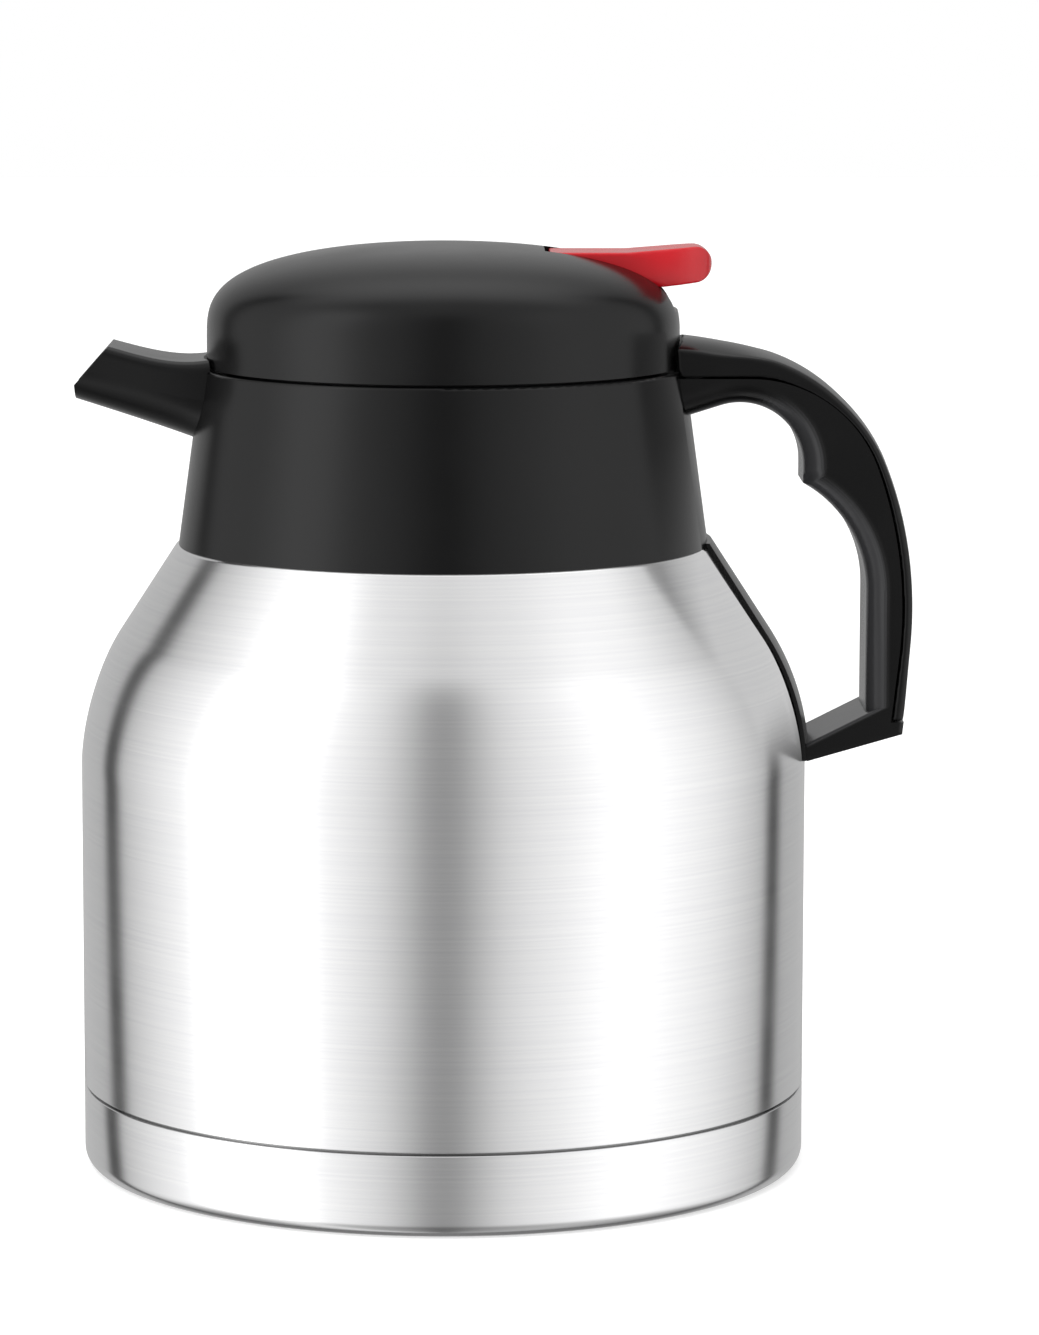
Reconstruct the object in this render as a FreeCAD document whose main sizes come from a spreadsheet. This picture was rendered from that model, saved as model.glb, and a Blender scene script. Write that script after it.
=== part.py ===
import FreeCAD, Part
import itertools
import math
import os
import Sketcher
from types import SimpleNamespace

# Thermal jug in millimetres: the foot stands on Z = 0, the axis is Z, the handle is at +X and the spout at -X.

# Driving sizes: lengths in millimetres, slopes and spans in degrees
SIZES = {
    # Steel flask
    "body_radius": 72.5,
    "shoulder_base": 81.0,
    "shoulder_ratio": 2.487047,
    "shoulder_slope": 33.0,
    "ledge_inset": 0.4,
    "ledge_round": 0.8,
    "shell_wall": 0.6,
    "neck_step": 1.4,
    "neck_drop": 15.5,
    "vacuum_gap": 4.0,
    "neck_gap": 1.6,
    "liner_wall": 0.5,
    "liner_slope": 55.0,
    "liner_floor": 14.0,
    "liner_corner": 9.0,
    # Foot
    "cup_height": 16.2,
    "cup_seam": 0.5,
    "cup_wall": 0.7,
    "cup_corner": 3.2,
    "cup_recess": 2.5,
    "foot_width": 6.0,
    "spigot_depth": 10.0,
    "spigot_clearance": 0.1,
    "dimple_radius": 8.0,
    "dimple_depth": 2.0,
    "plug_radius": 5.0,
    "plug_thickness": 1.2,
    "getter_radius": 9.0,
    "getter_thickness": 1.6,
    # Collar and spout
    "collar_height": 35.0,
    "collar_flare": 4.8,
    "collar_top_radius": 48.0,
    "collar_edge_round": 0.6,
    "skirt_wall": 2.4,
    "collar_wall": 3.4,
    "shelf_thickness": 2.2,
    "gasket_thickness": 0.8,
    "gasket_width": 2.2,
    "sleeve_wall": 2.0,
    "sleeve_clearance": 0.3,
    "sleeve_lift": 2.0,
    "spout_wall": 1.8,
    "spout_round": 2.2,
    "spout_root_width": 25.0,
    "spout_waist_ratio": 0.36,
    "spout_waist_width": 24.0,
    "spout_lip_ratio": 0.724,
    "spout_lip_width": 22.0,
    "spout_reach": 73.0,
    "spout_tip_width": 21.0,
    "spout_lip_height": 3.2,
    "spout_root_top": 3.5,
    "spout_root_depth": 16.7,
    "spout_waist_top": 2.6,
    "spout_waist_depth": 11.3,
    "spout_lip_top": 4.9,
    "spout_lip_depth": 8.3,
    "spout_tip_top": 6.6,
    "spout_tip_depth": 6.1,
    "window_width": 20.0,
    "window_top": 2.4,
    "window_sill": 1.8,
    # Handle
    "handle_width": 25.0,
    "handle_wall": 2.4,
    "handle_rim_round": 1.0,
    "handle_grip_round": 5.0,
    "handle_web": 2.0,
    "handle_root_top": 6.6,
    "handle_root_wall": 3.6,
    "handle_overhang": 21.0,
    "handle_grip": 9.5,
    "hollow_rise": 2.0,
    "crown_heading": -4.2,
    "bend_ratio": 0.74,
    "bend_turn": 65.5,
    "back_ratio": 1.09,
    "back_turn": 27.0,
    "corner_rise": 6.3,
    "foot_drop": -0.5,
    "foot_thickness": 3.0,
    "grip_rise": 10.4,
    "grip_ratio": 0.36,
    "grip_turn": 59.9,
    "notch_run": 0.6,
    "notch_height": 3.4,
    "finger_drop": 6.3,
    "finger_ratio": 0.32,
    "finger_turn": 107.4,
    "cover_thickness": 2.35,
    "cover_drop": 1.0,
    "cover_rise": 1.3,
    "cover_gap": 0.3,
    "strap_thickness": 0.8,
    "strap_angle": 21.0,
    "strap_notch_angle": 22.0,
    "strap_tongue": 2.4,
    "strap_end_slope": 2.0,
    "strap_clearance": 0.1,
    "tab_length": 4.0,
    "tab_width": 12.0,
    "tab_rise": 2.9,
    "screw_radius": 1.5,
    "screw_head_radius": 2.3,
    "screw_head_height": 1.6,
    "screw_spread": 5.5,
    "screw_drop": 3.2,
    "screw_tip_wall": 0.8,
    "screw_clearance": 0.05,
    # Lid
    "lid_seam": 0.5,
    "lid_step": 1.0,
    "lid_height": 24.3,
    "lid_wall": 2.2,
    "lid_edge_radius": 10.9,
    "lid_crown_radius": 219.0,
    "turn_clearance": 0.6,
    "well_floor": 11.1,
    "well_wall": 1.8,
    "well_inset": 16.0,
    "well_dam": 1.4,
    "slot_inset": 27.0,
    "lug_thickness": 2.2,
    "lug_radius": 3.2,
    # Stopper
    "thread_room": 1.6,
    "stopper_wall": 2.5,
    "plug_inset": 5.7,
    "stopper_plug_depth": 8.4,
    "stopper_flange": 2.0,
    "seal_thickness": 1.0,
    "seal_width": 5.6,
    "deck_thickness": 2.0,
    "deck_drop": 2.0,
    "port_width": 20.0,
    "port_sill": 0.3,
    "o_ring_radius": 1.1,
    "o_ring_clearance": 0.3,
    "o_ring_drop": 1.7,
    "base_plate": 2.0,
    "seat_radius": 8.0,
    "seat_lip": 0.9,
    "seat_lip_width": 1.5,
    "guide_radius": 6.0,
    "guide_height": 4.5,
    "gland_depth": 2.0,
    "stem_ring_radius": 0.85,
    "retainer_thickness": 1.2,
    # Valve
    "stem_radius": 2.5,
    "stem_clearance": 0.08,
    "valve_seal_radius": 11.0,
    "valve_seal_thickness": 2.2,
    "carrier_radius": 10.0,
    "carrier_thickness": 2.0,
    "button_radius": 4.5,
    "button_thickness": 1.5,
    "cap_radius": 5.5,
    "cap_thickness": 2.3,
    "cap_clearance": 0.3,
    "spring_radius": 6.0,
    "spring_wire": 0.8,
    "spring_turns": 5.0,
    # Lever
    "lever_width": 16.0,
    "lever_gap": 0.5,
    "lever_overhang": 6.3,
    "lever_nose": 3.6,
    "lever_nose_height": 20.25,
    "lever_top": 22.75,
    "lever_flat_inset": 10.6,
    "lever_under": 15.9,
    "lever_belly_inset": 15.0,
    "lever_belly_run": 11.2,
    "lever_front": 3.0,
    "lever_arm_top": 17.0,
    "lever_arm_width": 12.4,
    "fork_gap": 6.4,
    "fork_depth": 6.0,
    "fork_end": 8.0,
    "tine_radius": 1.5,
    "tine_height": 12.5,
    "pivot_inset": 23.0,
    "pivot_height": 17.0,
    "pin_radius": 1.25,
    "pin_clearance": 0.05,
}

doc = FreeCAD.newDocument("thermal_jug")
sheet = doc.addObject("Spreadsheet::Sheet", "Sizes")
sheet_rows = itertools.count(1)


def write_cell(alias, content):
    """Next row of the sheet: the name of a size, and its number or formula."""
    row = next(sheet_rows)
    sheet.set(f"A{row}", alias)
    sheet.set(f"B{row}", content)
    sheet.setAlias(f"B{row}", alias)


for alias, number in SIZES.items():
    write_cell(alias, str(number))
doc.recompute()


class Size:
    """A size worked out from the sheet: its number, and the expression that keeps it bound there."""

    def __init__(self, number, text):
        self.number = number
        self.text = text

    def __add__(self, other):
        other = as_size(other)
        return Size(self.number + other.number, f"({self.text} + {other.text})")

    def __sub__(self, other):
        other = as_size(other)
        return Size(self.number - other.number, f"({self.text} - {other.text})")

    def __mul__(self, other):
        other = as_size(other)
        return Size(self.number * other.number, f"({self.text} * {other.text})")

    def __truediv__(self, other):
        other = as_size(other)
        return Size(self.number / other.number, f"({self.text} / {other.text})")

    def __neg__(self):
        return Size(-self.number, f"(-1 * {self.text})")


def as_size(value):
    return value if isinstance(value, Size) else Size(float(value), f"{float(value)}")


def sine(angle):
    return Size(math.sin(math.radians(angle.number)), f"sin({angle.text} * 1 deg)")


def cosine(angle):
    return Size(math.cos(math.radians(angle.number)), f"cos({angle.text} * 1 deg)")


def tangent(angle):
    return sine(angle) / cosine(angle)


def root(value):
    return Size(math.sqrt(value.number), f"sqrt({value.text})")


def derive(alias, size):
    """Gives a worked-out size a cell of its own, so that features refer to it by name."""
    write_cell(alias, "=" + size.text.replace("Sizes.", ""))
    return Size(size.number, f"Sizes.{alias}")


dim = SimpleNamespace(**{alias: Size(number, f"Sizes.{alias}") for alias, number in SIZES.items()})
ZERO = as_size(0.0)


def spout_part(ratio):
    """Reach of a station that lies part of the way from the collar to the spout's tip."""
    return dim.collar_top_radius + (dim.spout_reach - dim.collar_top_radius) * ratio


# Sizes that follow from the piece that each one fits, by a named step or clearance
FOLLOWING = {
    "collar_foot_radius": lambda: dim.collar_top_radius + dim.collar_flare,
    "ledge_radius": lambda: dim.collar_foot_radius + dim.ledge_inset,
    "shoulder_radius": lambda: (dim.body_radius - dim.ledge_radius) * dim.shoulder_ratio,
    "bore_radius": lambda: dim.collar_top_radius - dim.collar_wall,
    "neck_radius": lambda: dim.bore_radius - dim.neck_step,
    "stopper_radius": lambda: dim.bore_radius - dim.thread_room,
    "stopper_plug_radius": lambda: dim.neck_radius - dim.plug_inset,
    "neck_height": lambda: dim.collar_height - dim.neck_drop,
    "spout_waist_reach": lambda: spout_part(dim.spout_waist_ratio),
    "spout_lip_reach": lambda: spout_part(dim.spout_lip_ratio),
    "lid_radius": lambda: dim.collar_top_radius - dim.lid_step,
    "well_front": lambda: dim.lid_radius - dim.well_inset,
    "slot_front": lambda: dim.lid_radius - dim.slot_inset,
    "pivot_reach": lambda: dim.lid_radius - dim.pivot_inset,
    "lever_reach": lambda: dim.lid_radius + dim.lever_overhang,
    "lever_flat_end": lambda: dim.lid_radius - dim.lever_flat_inset,
    "lever_belly_start": lambda: dim.lid_radius - dim.lever_belly_inset,
    "lever_belly_end": lambda: dim.lever_belly_start + dim.lever_belly_run,
}
for alias, rule in FOLLOWING.items():
    setattr(dim, alias, derive(alias, rule()))


# Modelling steps shared by the pieces

def bind(item, **values):
    """Sets properties of a feature and keeps them bound to the sheet."""
    for name, value in values.items():
        item.setExpression(name, as_size(value).text)
    return item


def new_body(name):
    body = doc.addObject("PartDesign::Body", name)
    body.Label = name
    return body


def new_sketch(body, name, role, offset=None):
    """Sketch on one of the body's own origin planes, moved along the plane's normal."""
    sketch = body.newObject("Sketcher::SketchObject", name)
    plane = next(item for item in body.Origin.OriginFeatures if item.Role == role)
    sketch.AttachmentSupport = (plane, [""])
    sketch.MapMode = "FlatFace"
    if offset is not None:
        sketch.setExpression("AttachmentOffset.Base.z", offset.text)
    return sketch


def constrain(sketch, kind, where, value):
    value = as_size(value)
    index = sketch.addConstraint(Sketcher.Constraint(kind, *where, value.number))
    sketch.setExpression(f"Constraints[{index}]", value.text)


def arc_between(start, end, radius):
    """Arc of under half a circle from start to end: a left-hand turn for a positive radius."""
    chord = end - start
    height = math.sqrt(radius ** 2 - (chord.Length / 2) ** 2)
    left = FreeCAD.Vector(-chord.y, chord.x, 0).normalize()
    centre = (start + end) / 2 + left * math.copysign(height, radius)
    first, last = (start, end) if radius > 0 else (end, start)
    circle = Part.Circle(centre, FreeCAD.Vector(0, 0, 1), abs(radius))
    return Part.ArcOfCircle(circle, circle.parameter(first), circle.parameter(last))


def outline(sketch, corners):
    """Closed outline through (x, y) corners. A third value is the radius of the arc that leads there."""
    corners = [tuple(as_size(value) for value in corner) for corner in corners]
    points = [FreeCAD.Vector(corner[0].number, corner[1].number, 0) for corner in corners]
    ends = []
    for index, corner in enumerate(corners):
        if len(corner) == 3:
            sketch.addGeometry(arc_between(points[index - 1], points[index], corner[2].number))
            ends.append((1, 2) if corner[2].number > 0 else (2, 1))
        else:
            sketch.addGeometry(Part.LineSegment(points[index - 1], points[index]))
            ends.append((1, 2))
    for index in range(len(corners)):
        following = (index + 1) % len(corners)
        link = Sketcher.Constraint("Coincident", index, ends[index][1], following, ends[following][0])
        sketch.addConstraint(link)
    for index, corner in enumerate(corners):
        constrain(sketch, "DistanceX", (-1, 1, index, ends[index][1]), corner[0])
        constrain(sketch, "DistanceY", (-1, 1, index, ends[index][1]), corner[1])
        if len(corner) == 3:
            constrain(sketch, "Radius", (index,), corner[2] if corner[2].number > 0 else -corner[2])
    return sketch


def trail(name, x, y, heading, moves):
    """Corners along a path of straight runs, smooth bends and sharp corners, from a start and a heading."""
    x = derive(f"{name}_start_x", x)
    y = derive(f"{name}_start_y", y)
    corners = []
    for index, (kind, *values) in enumerate(moves):
        if kind.startswith("run"):
            length = values[0]
            if kind == "run to x":
                length = (values[0] - x) / cosine(heading)
            elif kind == "run to y":
                length = (values[0] - y) / sine(heading)
            x = derive(f"{name}_{index}_x", x + length * cosine(heading))
            y = derive(f"{name}_{index}_y", y + length * sine(heading))
            corners.append((x, y))
            continue
        side = 1 if kind.endswith("left") else -1
        after = derive(f"{name}_{index}_heading", heading + values[-1] * side)
        if kind.startswith("bend"):
            x = derive(f"{name}_{index}_x", x + (sine(after) - sine(heading)) * values[0] * side)
            y = derive(f"{name}_{index}_y", y + (cosine(heading) - cosine(after)) * values[0] * side)
            corners.append((x, y, values[0] * side))
        heading = after
    return corners


def turn(body, name, corners, span=None, cut=False):
    """Turned form about Z from an outline of (radius, height) corners, or a groove of that form."""
    sketch = outline(new_sketch(body, f"{name}_profile", "XZ_Plane"), corners)
    feature = body.newObject("PartDesign::Groove" if cut else "PartDesign::Revolution", name)
    feature.Profile = sketch
    feature.ReferenceAxis = (sketch, ["V_Axis"])
    feature.Angle = 360
    if span is not None:
        feature.Midplane = True
        bind(feature, Angle=span)
    doc.recompute()
    return feature


def extrude(body, name, role, corners, width, cut=False):
    """Form of an even width on both sides of an origin plane, or a pocket of that form."""
    sketch = outline(new_sketch(body, f"{name}_outline", role), corners)
    feature = body.newObject("PartDesign::Pocket" if cut else "PartDesign::Pad", name)
    feature.Profile = sketch
    feature.SideType = "Symmetric"
    bind(feature, Length=width)
    doc.recompute()
    return feature


def loft(body, name, stations, section, cut=False, ruled=False):
    """Form through sections across X at each station, or a passage of that form."""
    sketches = []
    for index, station in enumerate(stations):
        sketch = new_sketch(body, f"{name}_section_{index}", "YZ_Plane", station[0])
        sketches.append(outline(sketch, section(*station[1:])))
    feature = body.newObject("PartDesign::SubtractiveLoft" if cut else "PartDesign::AdditiveLoft", name)
    feature.Profile = sketches[0]
    feature.Sections = sketches[1:]
    feature.Ruled = ruled
    doc.recompute()
    return feature


def round_edges(body, name, radius, chosen):
    """Fillet on the edges of the body's last feature that a test picks."""
    base = body.Tip
    picked = [f"Edge{index}" for index, edge in enumerate(base.Shape.Edges, start=1) if chosen(edge)]
    feature = body.newObject("PartDesign::Fillet", name)
    feature.Base = (base, picked)
    bind(feature, Radius=radius)
    doc.recompute()
    return feature


def block(name, low, high):
    """Box between two corners."""
    box = doc.addObject("Part::Box", name)
    bind(box, Length=high[0] - low[0], Width=high[1] - low[1], Height=high[2] - low[2])
    for axis, value in zip("xyz", low):
        box.setExpression(f"Placement.Base.{axis}", value.text)
    return box


def rod(name, radius, length, start, axis):
    """Round rod from a start point along X or Y."""
    cylinder = doc.addObject("Part::Cylinder", name)
    normal = FreeCAD.Vector(1, 0, 0) if axis == "X" else FreeCAD.Vector(0, 1, 0)
    cylinder.Placement = FreeCAD.Placement(FreeCAD.Vector(), FreeCAD.Rotation(FreeCAD.Vector(0, 0, 1), normal))
    bind(cylinder, Radius=radius, Height=length)
    for letter, value in zip("xyz", start):
        cylinder.setExpression(f"Placement.Base.{letter}", value.text)
    return cylinder


def ring(name, middle, thickness, height):
    """Round ring about Z: radius to the middle of its section, radius of the section, height."""
    torus = doc.addObject("Part::Torus", name)
    bind(torus, Radius1=middle, Radius2=thickness)
    torus.setExpression("Placement.Base.z", height.text)
    return torus


def minus(name, base, *tools):
    """The base with each tool cut from it in turn."""
    for index, tool in enumerate(tools, start=1):
        last = index == len(tools)
        result = doc.addObject("Part::Cut", name if last else f"{name}_step_{index}")
        result.Base = base
        result.Tool = tool
        doc.recompute()
        base = result
    return base


def shared(name, first, second):
    result = doc.addObject("Part::Common", name)
    result.Base = first
    result.Tool = second
    doc.recompute()
    return result


def joined(name, *parts):
    result = doc.addObject("Part::MultiFuse", name)
    result.Shapes = list(parts)
    doc.recompute()
    return result


# Heights and radii that several pieces share

def shoulder_end(inset, slope):
    """Radius and height where the shoulder's curve, set in from the outside, reaches a slope."""
    radius = dim.shoulder_radius - inset
    centre = dim.body_radius - dim.shoulder_radius
    return centre + radius * cosine(slope), dim.shoulder_base + radius * sine(slope)


def cone_height(inset, slope, radius):
    """Height at which the cone above the shoulder's curve has a radius."""
    end_radius, end_height = shoulder_end(inset, slope)
    return end_height + (end_radius - radius) / tangent(slope)


def cone_radius(inset, slope, height):
    end_radius, end_height = shoulder_end(inset, slope)
    return end_radius - (height - end_height) * tangent(slope)


ledge = cone_height(ZERO, dim.shoulder_slope, dim.ledge_radius)
rim = ledge + dim.neck_height
mouth = dim.neck_radius - dim.shell_wall - dim.neck_gap - dim.liner_wall
shelf_low = rim + dim.liner_wall + dim.gasket_thickness
shelf_top = shelf_low + dim.shelf_thickness
collar_top = ledge + dim.collar_height
lid_low = collar_top + dim.lid_seam
lid_top = lid_low + dim.lid_height
lid_bore = dim.lid_radius - dim.lid_wall
lid_room = dim.lid_radius + dim.turn_clearance
spigot_radius = dim.body_radius - dim.cup_wall - dim.spigot_clearance
spigot_low = dim.cup_height - dim.spigot_depth
strap_tongue_end = dim.collar_foot_radius - dim.strap_tongue


def collar_radius(height):
    """Outside radius of the collar's cone at a height."""
    taper = (dim.collar_foot_radius - dim.collar_top_radius) / dim.collar_height
    return dim.collar_foot_radius - (height - ledge) * taper


# Steel flask

def outer_shell():
    """Drawn outer wall: a spigot for the foot cup, the body, the conical shoulder, a ledge and the neck."""
    inset = dim.shell_wall
    step = dim.cup_height + dim.cup_seam
    cone_r, cone_z = shoulder_end(ZERO, dim.shoulder_slope)
    inner_r, inner_z = shoulder_end(inset, dim.shoulder_slope)
    body = new_body("outer_shell")
    turn(body, "shell_wall", [
        (spigot_radius - inset, spigot_low),
        (spigot_radius, spigot_low),
        (spigot_radius, step),
        (dim.body_radius, step),
        (dim.body_radius, dim.shoulder_base),
        (cone_r, cone_z, dim.shoulder_radius),
        (dim.ledge_radius, ledge),
        (dim.neck_radius, ledge),
        (dim.neck_radius, rim),
        (dim.neck_radius - inset, rim),
        (dim.neck_radius - inset, ledge - inset),
        (cone_radius(inset, dim.shoulder_slope, ledge - inset), ledge - inset),
        (inner_r, inner_z),
        (dim.body_radius - inset, dim.shoulder_base, inset - dim.shoulder_radius),
        (dim.body_radius - inset, step + inset),
        (spigot_radius - inset, step + inset),
    ])
    round_edges(body, "ledge_edge", dim.ledge_round, lambda edge: on_circle(edge, dim.ledge_radius, ledge))
    return body


def on_circle(edge, radius, height):
    """Whether an edge is the circle of a radius at a height."""
    box = edge.BoundBox
    flat = abs(box.ZMin - height.number) < 0.01 and abs(box.ZMax - height.number) < 0.01
    return flat and abs(box.XMax - radius.number) < 0.01


def inner_flask():
    """Drawn liner inside the vacuum space, turned out over the shell's rim and welded there."""
    inset = dim.shell_wall + dim.vacuum_gap
    inside = inset + dim.liner_wall
    radius = dim.body_radius - inset
    corner = dim.liner_corner
    neck = mouth + dim.liner_wall
    floor = dim.liner_floor
    out_r, out_z = shoulder_end(inset, dim.liner_slope)
    in_r, in_z = shoulder_end(inside, dim.liner_slope)
    body = new_body("inner_flask")
    turn(body, "liner_wall", [
        (ZERO, floor),
        (radius - corner, floor),
        (radius, floor + corner, corner),
        (radius, dim.shoulder_base),
        (out_r, out_z, dim.shoulder_radius - inset),
        (neck, cone_height(inset, dim.liner_slope, neck)),
        (neck, rim),
        (dim.neck_radius, rim),
        (dim.neck_radius, rim + dim.liner_wall),
        (mouth, rim + dim.liner_wall),
        (mouth, cone_height(inside, dim.liner_slope, mouth)),
        (in_r, in_z),
        (radius - dim.liner_wall, dim.shoulder_base, inside - dim.shoulder_radius),
        (radius - dim.liner_wall, floor + corner),
        (radius - corner, floor + dim.liner_wall, dim.liner_wall - corner),
        (ZERO, floor + dim.liner_wall),
    ])
    return body


def vacuum_base():
    """Disc welded into the shell's spigot, with a dimple where the vacuum is sealed."""
    wall = dim.shell_wall
    low = spigot_low
    high = low + dim.dimple_depth
    body = new_body("vacuum_base")
    turn(body, "closing_disc", [
        (ZERO, high - wall),
        (dim.dimple_radius, high - wall),
        (dim.dimple_radius + dim.dimple_depth, low),
        (spigot_radius - wall, low),
        (spigot_radius - wall, low + wall),
        (dim.dimple_radius + dim.dimple_depth, low + wall),
        (dim.dimple_radius, high),
        (ZERO, high),
    ])
    return body


def vacuum_plug():
    """Sealing pellet in the dimple's roof."""
    high = spigot_low + dim.dimple_depth - dim.shell_wall
    body = new_body("vacuum_plug")
    turn(body, "pellet", [
        (ZERO, high - dim.plug_thickness),
        (dim.plug_radius * 0.8, high - dim.plug_thickness),
        (dim.plug_radius, high),
        (ZERO, high),
    ])
    return body


def getter():
    """Getter cup spot-welded under the liner, in the vacuum space."""
    low = dim.liner_floor - dim.getter_thickness
    body = new_body("getter")
    turn(body, "getter_cup", [
        (ZERO, low),
        (dim.getter_radius * 0.8, low),
        (dim.getter_radius, dim.liner_floor),
        (ZERO, dim.liner_floor),
    ])
    return body


def base_cup():
    """Pressed foot cup that slides on the spigot: rounded corner, standing ring and recessed middle."""
    wall = dim.cup_wall
    corner = dim.cup_corner
    ring_out = dim.body_radius - corner
    ring_in = ring_out - dim.foot_width
    body = new_body("base_cup")
    turn(body, "cup_wall", [
        (ZERO, dim.cup_recess),
        (ring_in - dim.cup_recess, dim.cup_recess),
        (ring_in, ZERO),
        (ring_out, ZERO),
        (dim.body_radius, corner, corner),
        (dim.body_radius, dim.cup_height),
        (dim.body_radius - wall, dim.cup_height),
        (dim.body_radius - wall, corner),
        (ring_out, wall, wall - corner),
        (ring_in, wall),
        (ring_in - dim.cup_recess, dim.cup_recess + wall),
        (ZERO, dim.cup_recess + wall),
    ])
    return body


# Collar, spout and handle

def neck_gasket():
    """Flat ring between the flask's rim and the collar's shelf."""
    low = rim + dim.liner_wall
    body = new_body("neck_gasket")
    turn(body, "gasket", [
        (dim.neck_radius - dim.gasket_width, low),
        (dim.neck_radius, low),
        (dim.neck_radius, shelf_low),
        (dim.neck_radius - dim.gasket_width, shelf_low),
    ])
    return body


def spout_section(width, low, high, corner):
    """Section of the spout: a flat roof with rounded edges over a round belly."""
    half = width / 2
    side = low + (high - low) * 0.55
    sag = side - low
    belly = (half * half + sag * sag) / (sag * 2)
    return [
        (half, side, belly),
        (half, high - corner),
        (half - corner, high, corner),
        (corner - half, high),
        (-half, high - corner, corner),
        (-half, side),
    ]


spout_above = collar_top + dim.spout_tip_top * 2


def spout_passage(body):
    """Cuts the way for the drink: the window through the collar's wall, then the spout's inside."""
    wall = dim.spout_wall
    sill = shelf_top + dim.window_sill
    lintel = collar_top - dim.window_top
    loft(body, f"{body.Name}_passage", [
        (-mouth, dim.window_width, sill, lintel, wall),
        (-lid_room - wall, dim.window_width, sill, lintel, wall),
        (-dim.spout_waist_reach, dim.spout_waist_width - wall * 2,
         collar_top - dim.spout_waist_depth + wall, collar_top + dim.spout_waist_top - wall, wall),
        (-dim.spout_lip_reach, dim.spout_lip_width - wall * 2,
         collar_top - dim.spout_lip_depth + wall, collar_top + dim.spout_lip_top - wall, wall),
        (-dim.spout_reach - wall, dim.spout_tip_width - wall * 2,
         collar_top - dim.spout_tip_depth + wall, collar_top + dim.spout_tip_top - wall, wall),
    ], spout_section, cut=True, ruled=True)


def spout():
    """Pouring spout welded on round the collar's window: concave roof, round belly, and a mouth cut on the slant."""
    body = new_body("spout")
    loft(body, "spout_form", [
        (dim.skirt_wall - dim.bore_radius, dim.spout_root_width,
         collar_top - dim.spout_root_depth, collar_top + dim.spout_root_top, dim.spout_round),
        (-dim.spout_waist_reach, dim.spout_waist_width,
         collar_top - dim.spout_waist_depth, collar_top + dim.spout_waist_top, dim.spout_round),
        (-dim.spout_lip_reach, dim.spout_lip_width,
         collar_top - dim.spout_lip_depth, collar_top + dim.spout_lip_top, dim.spout_round),
        (-dim.spout_reach, dim.spout_tip_width,
         collar_top - dim.spout_tip_depth, collar_top + dim.spout_tip_top, dim.spout_round),
    ], spout_section)
    turn(body, "spout_seat", [
        (ZERO, ledge),
        (dim.collar_foot_radius, ledge),
        (dim.collar_top_radius, collar_top),
        (lid_room, collar_top),
        (lid_room, spout_above),
        (ZERO, spout_above),
    ], cut=True)
    spout_passage(body)
    lip = collar_top - dim.spout_tip_depth + dim.spout_lip_height
    beyond = -dim.spout_reach - dim.spout_wall
    extrude(body, "spout_mouth", "XZ_Plane", [
        (-dim.spout_reach, lip),
        (-dim.spout_lip_reach, collar_top + dim.spout_lip_top),
        (-dim.spout_lip_reach, spout_above),
        (beyond, spout_above),
        (beyond, lip),
    ], dim.spout_root_width, cut=True)
    return body


def neck_collar():
    """Moulded collar over the neck, with the spout's window, the lid's bore, the shelf and the sleeve on the neck."""
    skirt_foot = dim.collar_foot_radius - dim.skirt_wall
    sleeve_in = dim.neck_radius + dim.sleeve_clearance
    sleeve_out = sleeve_in + dim.sleeve_wall
    sleeve_low = ledge + dim.sleeve_lift
    body = new_body("collar_moulding")
    turn(body, "collar_form", [
        (ZERO, ledge),
        (dim.collar_foot_radius, ledge),
        (dim.collar_top_radius, collar_top),
        (ZERO, collar_top),
    ])
    round_edges(body, "collar_edge", dim.collar_edge_round,
                lambda edge: on_circle(edge, dim.collar_top_radius, collar_top))
    turn(body, "collar_hollow", [
        (ZERO, ledge),
        (skirt_foot, ledge),
        (collar_radius(shelf_low) - dim.skirt_wall, shelf_low),
        (sleeve_out, shelf_low),
        (sleeve_out, sleeve_low),
        (sleeve_in, sleeve_low),
        (sleeve_in, shelf_low),
        (mouth, shelf_low),
        (mouth, shelf_top),
        (dim.bore_radius, shelf_top),
        (dim.bore_radius, collar_top),
        (ZERO, collar_top),
    ], cut=True)
    spout_passage(body)
    turn(body, "strap_notch", [
        (strap_tongue_end - dim.strap_clearance, ledge),
        (dim.ledge_radius + dim.strap_thickness, ledge),
        (dim.ledge_radius + dim.strap_thickness, ledge + dim.strap_thickness),
        (strap_tongue_end - dim.strap_clearance, ledge + dim.strap_thickness),
    ], span=dim.strap_notch_angle, cut=True)
    return minus("neck_collar", body, *screw_rods("collar_pilot", dim.screw_radius, ZERO))


def handle_strap():
    """Strap clamped under the collar's foot, down the shoulder, with a tab that hooks the handle's foot."""
    thick = dim.strap_thickness
    cone_r, cone_z = shoulder_end(ZERO, dim.shoulder_slope)
    out_r, out_z = shoulder_end(-thick, dim.shoulder_slope)
    low_r, low_z = shoulder_end(ZERO, dim.strap_end_slope)
    low_out_r, low_out_z = shoulder_end(-thick, dim.strap_end_slope)
    body = new_body("handle_strap")
    turn(body, "strap_band", [
        (strap_tongue_end, ledge),
        (strap_tongue_end, ledge + thick),
        (cone_radius(-thick, dim.shoulder_slope, ledge + thick), ledge + thick),
        (out_r, out_z),
        (low_out_r, low_out_z, -thick - dim.shoulder_radius),
        (low_r, low_z),
        (cone_r, cone_z, dim.shoulder_radius),
        (dim.ledge_radius, ledge),
    ], span=dim.strap_angle)
    low = handle_foot + dim.tab_rise
    tab_end = dim.body_radius + dim.tab_length
    extrude(body, "strap_tab", "XZ_Plane", [
        (dim.body_radius, low),
        (tab_end, low),
        (tab_end, low + thick),
        (dim.body_radius, low + thick),
    ], dim.tab_width)
    return body


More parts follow.
